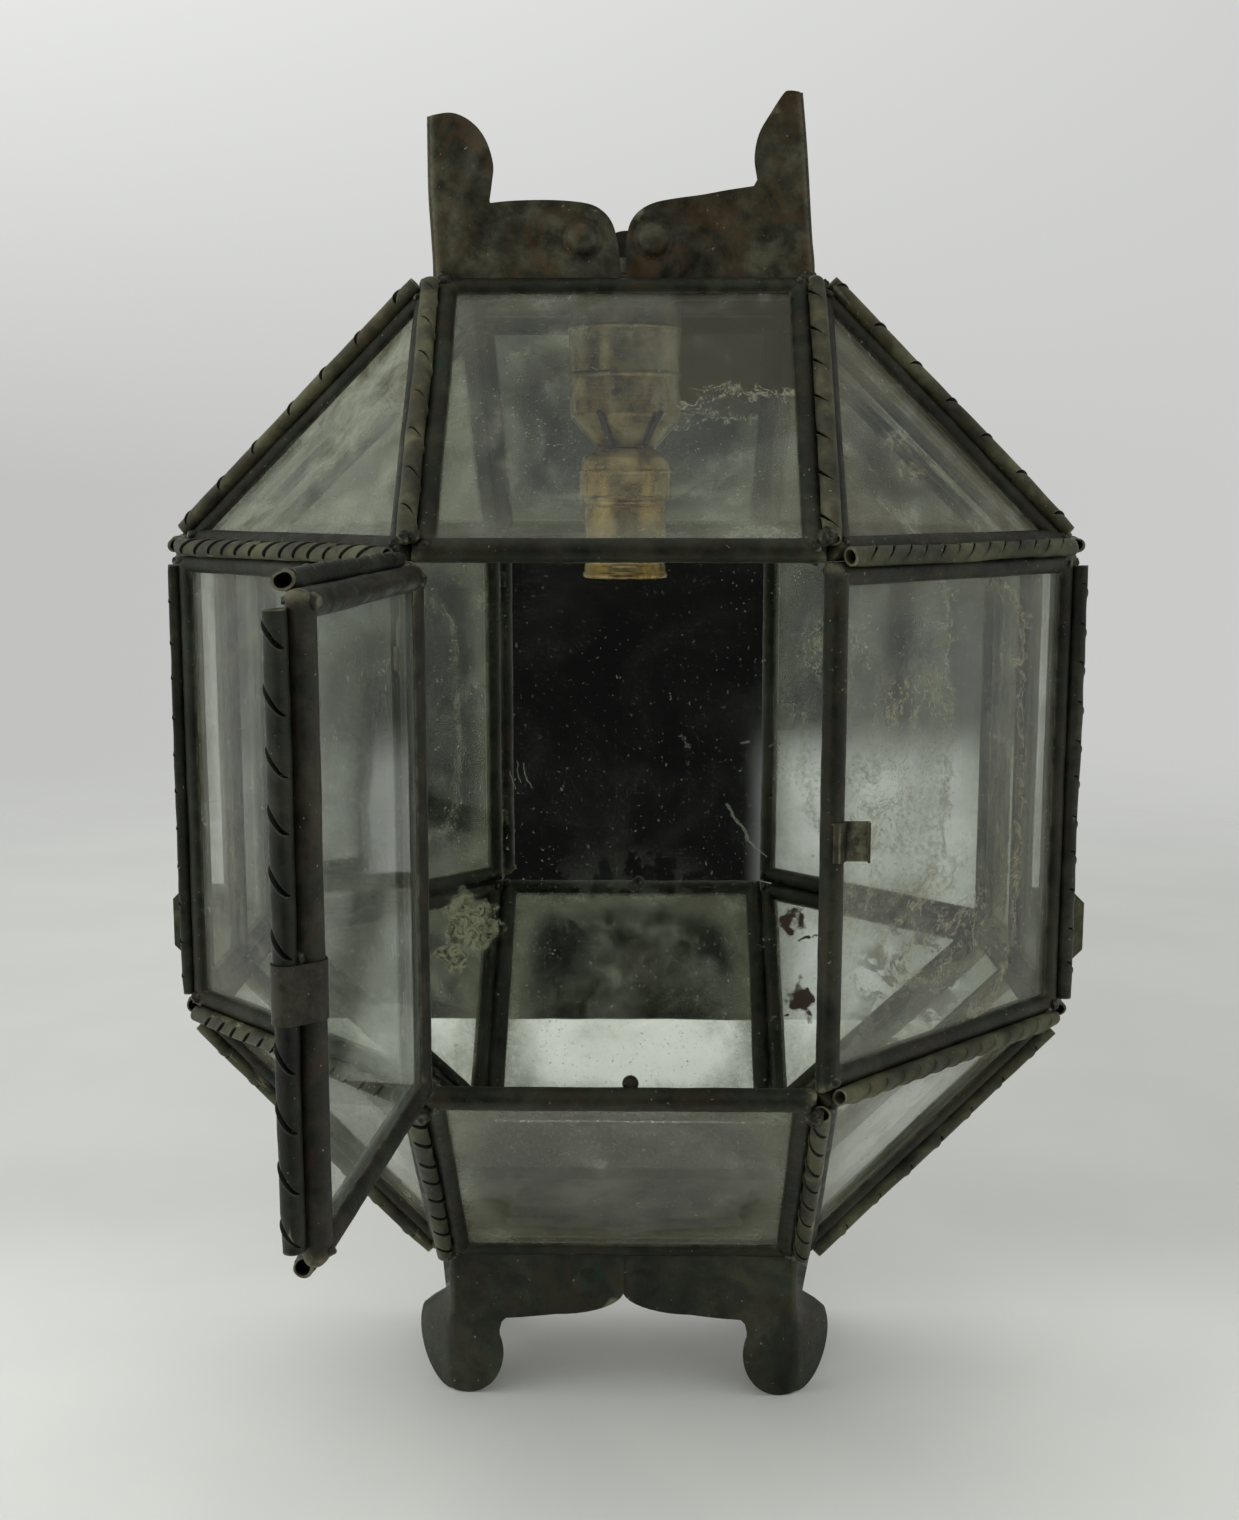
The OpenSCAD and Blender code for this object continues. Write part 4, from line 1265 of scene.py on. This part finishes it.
# ---------------------------------------------------------------- stage
def floor_material():
    """Matt pale paper with painted shade, darker from under the lantern towards the back and more on the
    right, that fades out far from the object.
    """
    n = new_material("pale_floor")
    x, y, _ = n.parts(n.where)
    away = n.math("SQRT", x * x + y * y)
    colour = n.mix(n.noise(9, 4, 0.5).step(0.3, 0.7), (0.60, 0.60, 0.575, 1), (0.63, 0.63, 0.60, 1))
    # Painted shade: the floor darkens by up to a quarter from under the lantern towards the back, and by up
    # to a third on the right
    painted_floor_shade = y.step(-0.1, 0.12, 0.0, 0.24) * x.step(-0.2, 0.3, 1.0, 1.4)
    sheet = n.surface(n.mix(painted_floor_shade, colour, (0.0, 0.0, 0.0, 1)), 0.75)
    return n.done(n.mix_shader(away.step(0.55, 1.7), sheet, n.put("ShaderNodeBsdfTransparent", {})))


def build_floor():
    """The floor in two sheets: the mirror sees only the far one, as if it stood near a table's edge."""
    material = floor_material()
    reach = 2.0
    table_edge = -0.389
    columns = (-reach, -0.5, 0.5, reach)
    steps = 8
    for name, near, far in (("floor", table_edge, reach), ("floor_front", -reach, table_edge)):
        rows = [near + (far - near) * k / steps for k in range(steps + 1)]
        starts = [len(columns) * k + c for k in range(steps) for c in range(len(columns) - 1)]
        mesh = bpy.data.meshes.new(name)
        mesh.from_pydata([(x, y, 0.0) for y in rows for x in columns], [],
                         [(a, a + 1, a + 1 + len(columns), a + len(columns)) for a in starts])
        mesh.materials.append(material)
        floor = add_object(name, mesh)
        floor.location = (0, 0, LOW[2] - 0.2 * MM)
        floor.visible_glossy = name == "floor"


def build_world():
    """A pale backdrop to the eye, with painted light that brightens it upwards and most towards the upper
    left; for light and reflections a bright tent with a dark gap in front.
    """
    world = bpy.data.worlds.new("studio")
    bpy.context.scene.world = world
    n = Nodes(world, "Generated")
    x, y, z = n.parts(n.where)
    level = n.math("SQRT", x * x + y * y)
    full_dark, no_dark = (math.cos(math.radians(turn)) for turn in (20, 40))
    sector = (y * -1.0 / (level | 0.001)).step(no_dark, full_dark)
    dark = sector * (z.step(-0.75, -0.5) * z.step(0.55, 0.3))
    tent = z.step(-0.4, 0.7, 0.62, 1.15, "LINEAR") * (x.step(0.8, -0.9) * 0.35 + 0.85)
    roof = z.step(0.05, 0.55) * 0.55
    tent = tent * (1.0 - n.put("ShaderNodeLightPath", {}, "Is Glossy Ray") * roof)
    pale_corner = x.step(0.05, 0.085) * z.step(-0.125, -0.165)
    light = tent * (1.0 - dark) + dark * (pale_corner * 0.5 + 0.005)
    # Painted light on the backdrop that the camera sees: brighter upwards, far more on the left than on the
    # right
    across = x.step(-0.34, 0.34, kind="LINEAR")
    backdrop_painted_light = across * 0.06 + 0.54 + n.math("MINIMUM", z | 0.0, 0.3) * (1.12 - across)
    unseen = n.put("ShaderNodeBackground", {"Color": (0.98, 1.0, 0.985, 1), "Strength": light})
    seen = n.put("ShaderNodeBackground", {"Color": (0.99, 1.0, 0.985, 1), "Strength": backdrop_painted_light})
    direct = n.put("ShaderNodeLightPath", {}, "Is Camera Ray")
    n.done(n.mix_shader(direct, unseen, seen), "World")


def point_at(obj, way):
    """Turns a lamp or a camera to face along way."""
    obj.rotation_mode = "QUATERNION"
    obj.rotation_quaternion = way.to_track_quat("-Z", "Y")


def add_light(name, place, size, power):
    lamp = bpy.data.lights.new(name, "AREA")
    lamp.shape = "RECTANGLE"
    lamp.size, lamp.size_y = size
    lamp.energy = power
    obj = add_object(name, lamp)
    obj.location = place
    obj.visible_glossy = False
    point_at(obj, Vector((LOW + HIGH) / 2) - Vector(place))


def build_lights():
    add_light("sky_panel", (-0.35, 0.1, 1.7), (1.6, 1.4), 8)
    add_light("left_panel", (-1.7, -0.5, 0.7), (1.0, 1.4), 6)
    add_light("right_panel", (1.8, -0.3, 0.5), (0.8, 1.2), 1.2)


# The camera's place in metres, how far it looks down and to the left in degrees, and its focal length
# and film width in millimetres
CAMERA_PLACE = (10.26 * MM, -659.1 * MM, 100.8 * MM)
CAMERA_DOWN = 8.803
CAMERA_LEFT = 1.118
CAMERA_LENS = 41.94
CAMERA_FILM = 36


def build_camera():
    """The camera: level with the lantern's upper half, close in front and looking a little down."""
    down = math.radians(CAMERA_DOWN)
    left = math.radians(CAMERA_LEFT)
    lens = bpy.data.cameras.new("camera")
    lens.sensor_width = CAMERA_FILM
    lens.lens = CAMERA_LENS
    lens.clip_start = 0.01
    lens.clip_end = 20
    camera = add_object("camera", lens)
    camera.location = CAMERA_PLACE
    ahead = (-math.sin(left) * math.cos(down), math.cos(left) * math.cos(down), -math.sin(down))
    point_at(camera, Vector(ahead))
    bpy.context.scene.camera = camera


materials = make_materials()
build_camera()
build_channels(materials)
build_panes(materials)
build_all_strips(materials)
build_solder(materials)
build_crown(materials)
build_skirt(materials)
build_lamp(materials)
build_stud(materials)
finish_kept_nodes(materials)
build_floor()
build_world()
build_lights()
bpy.context.scene.view_settings.view_transform = "Standard"
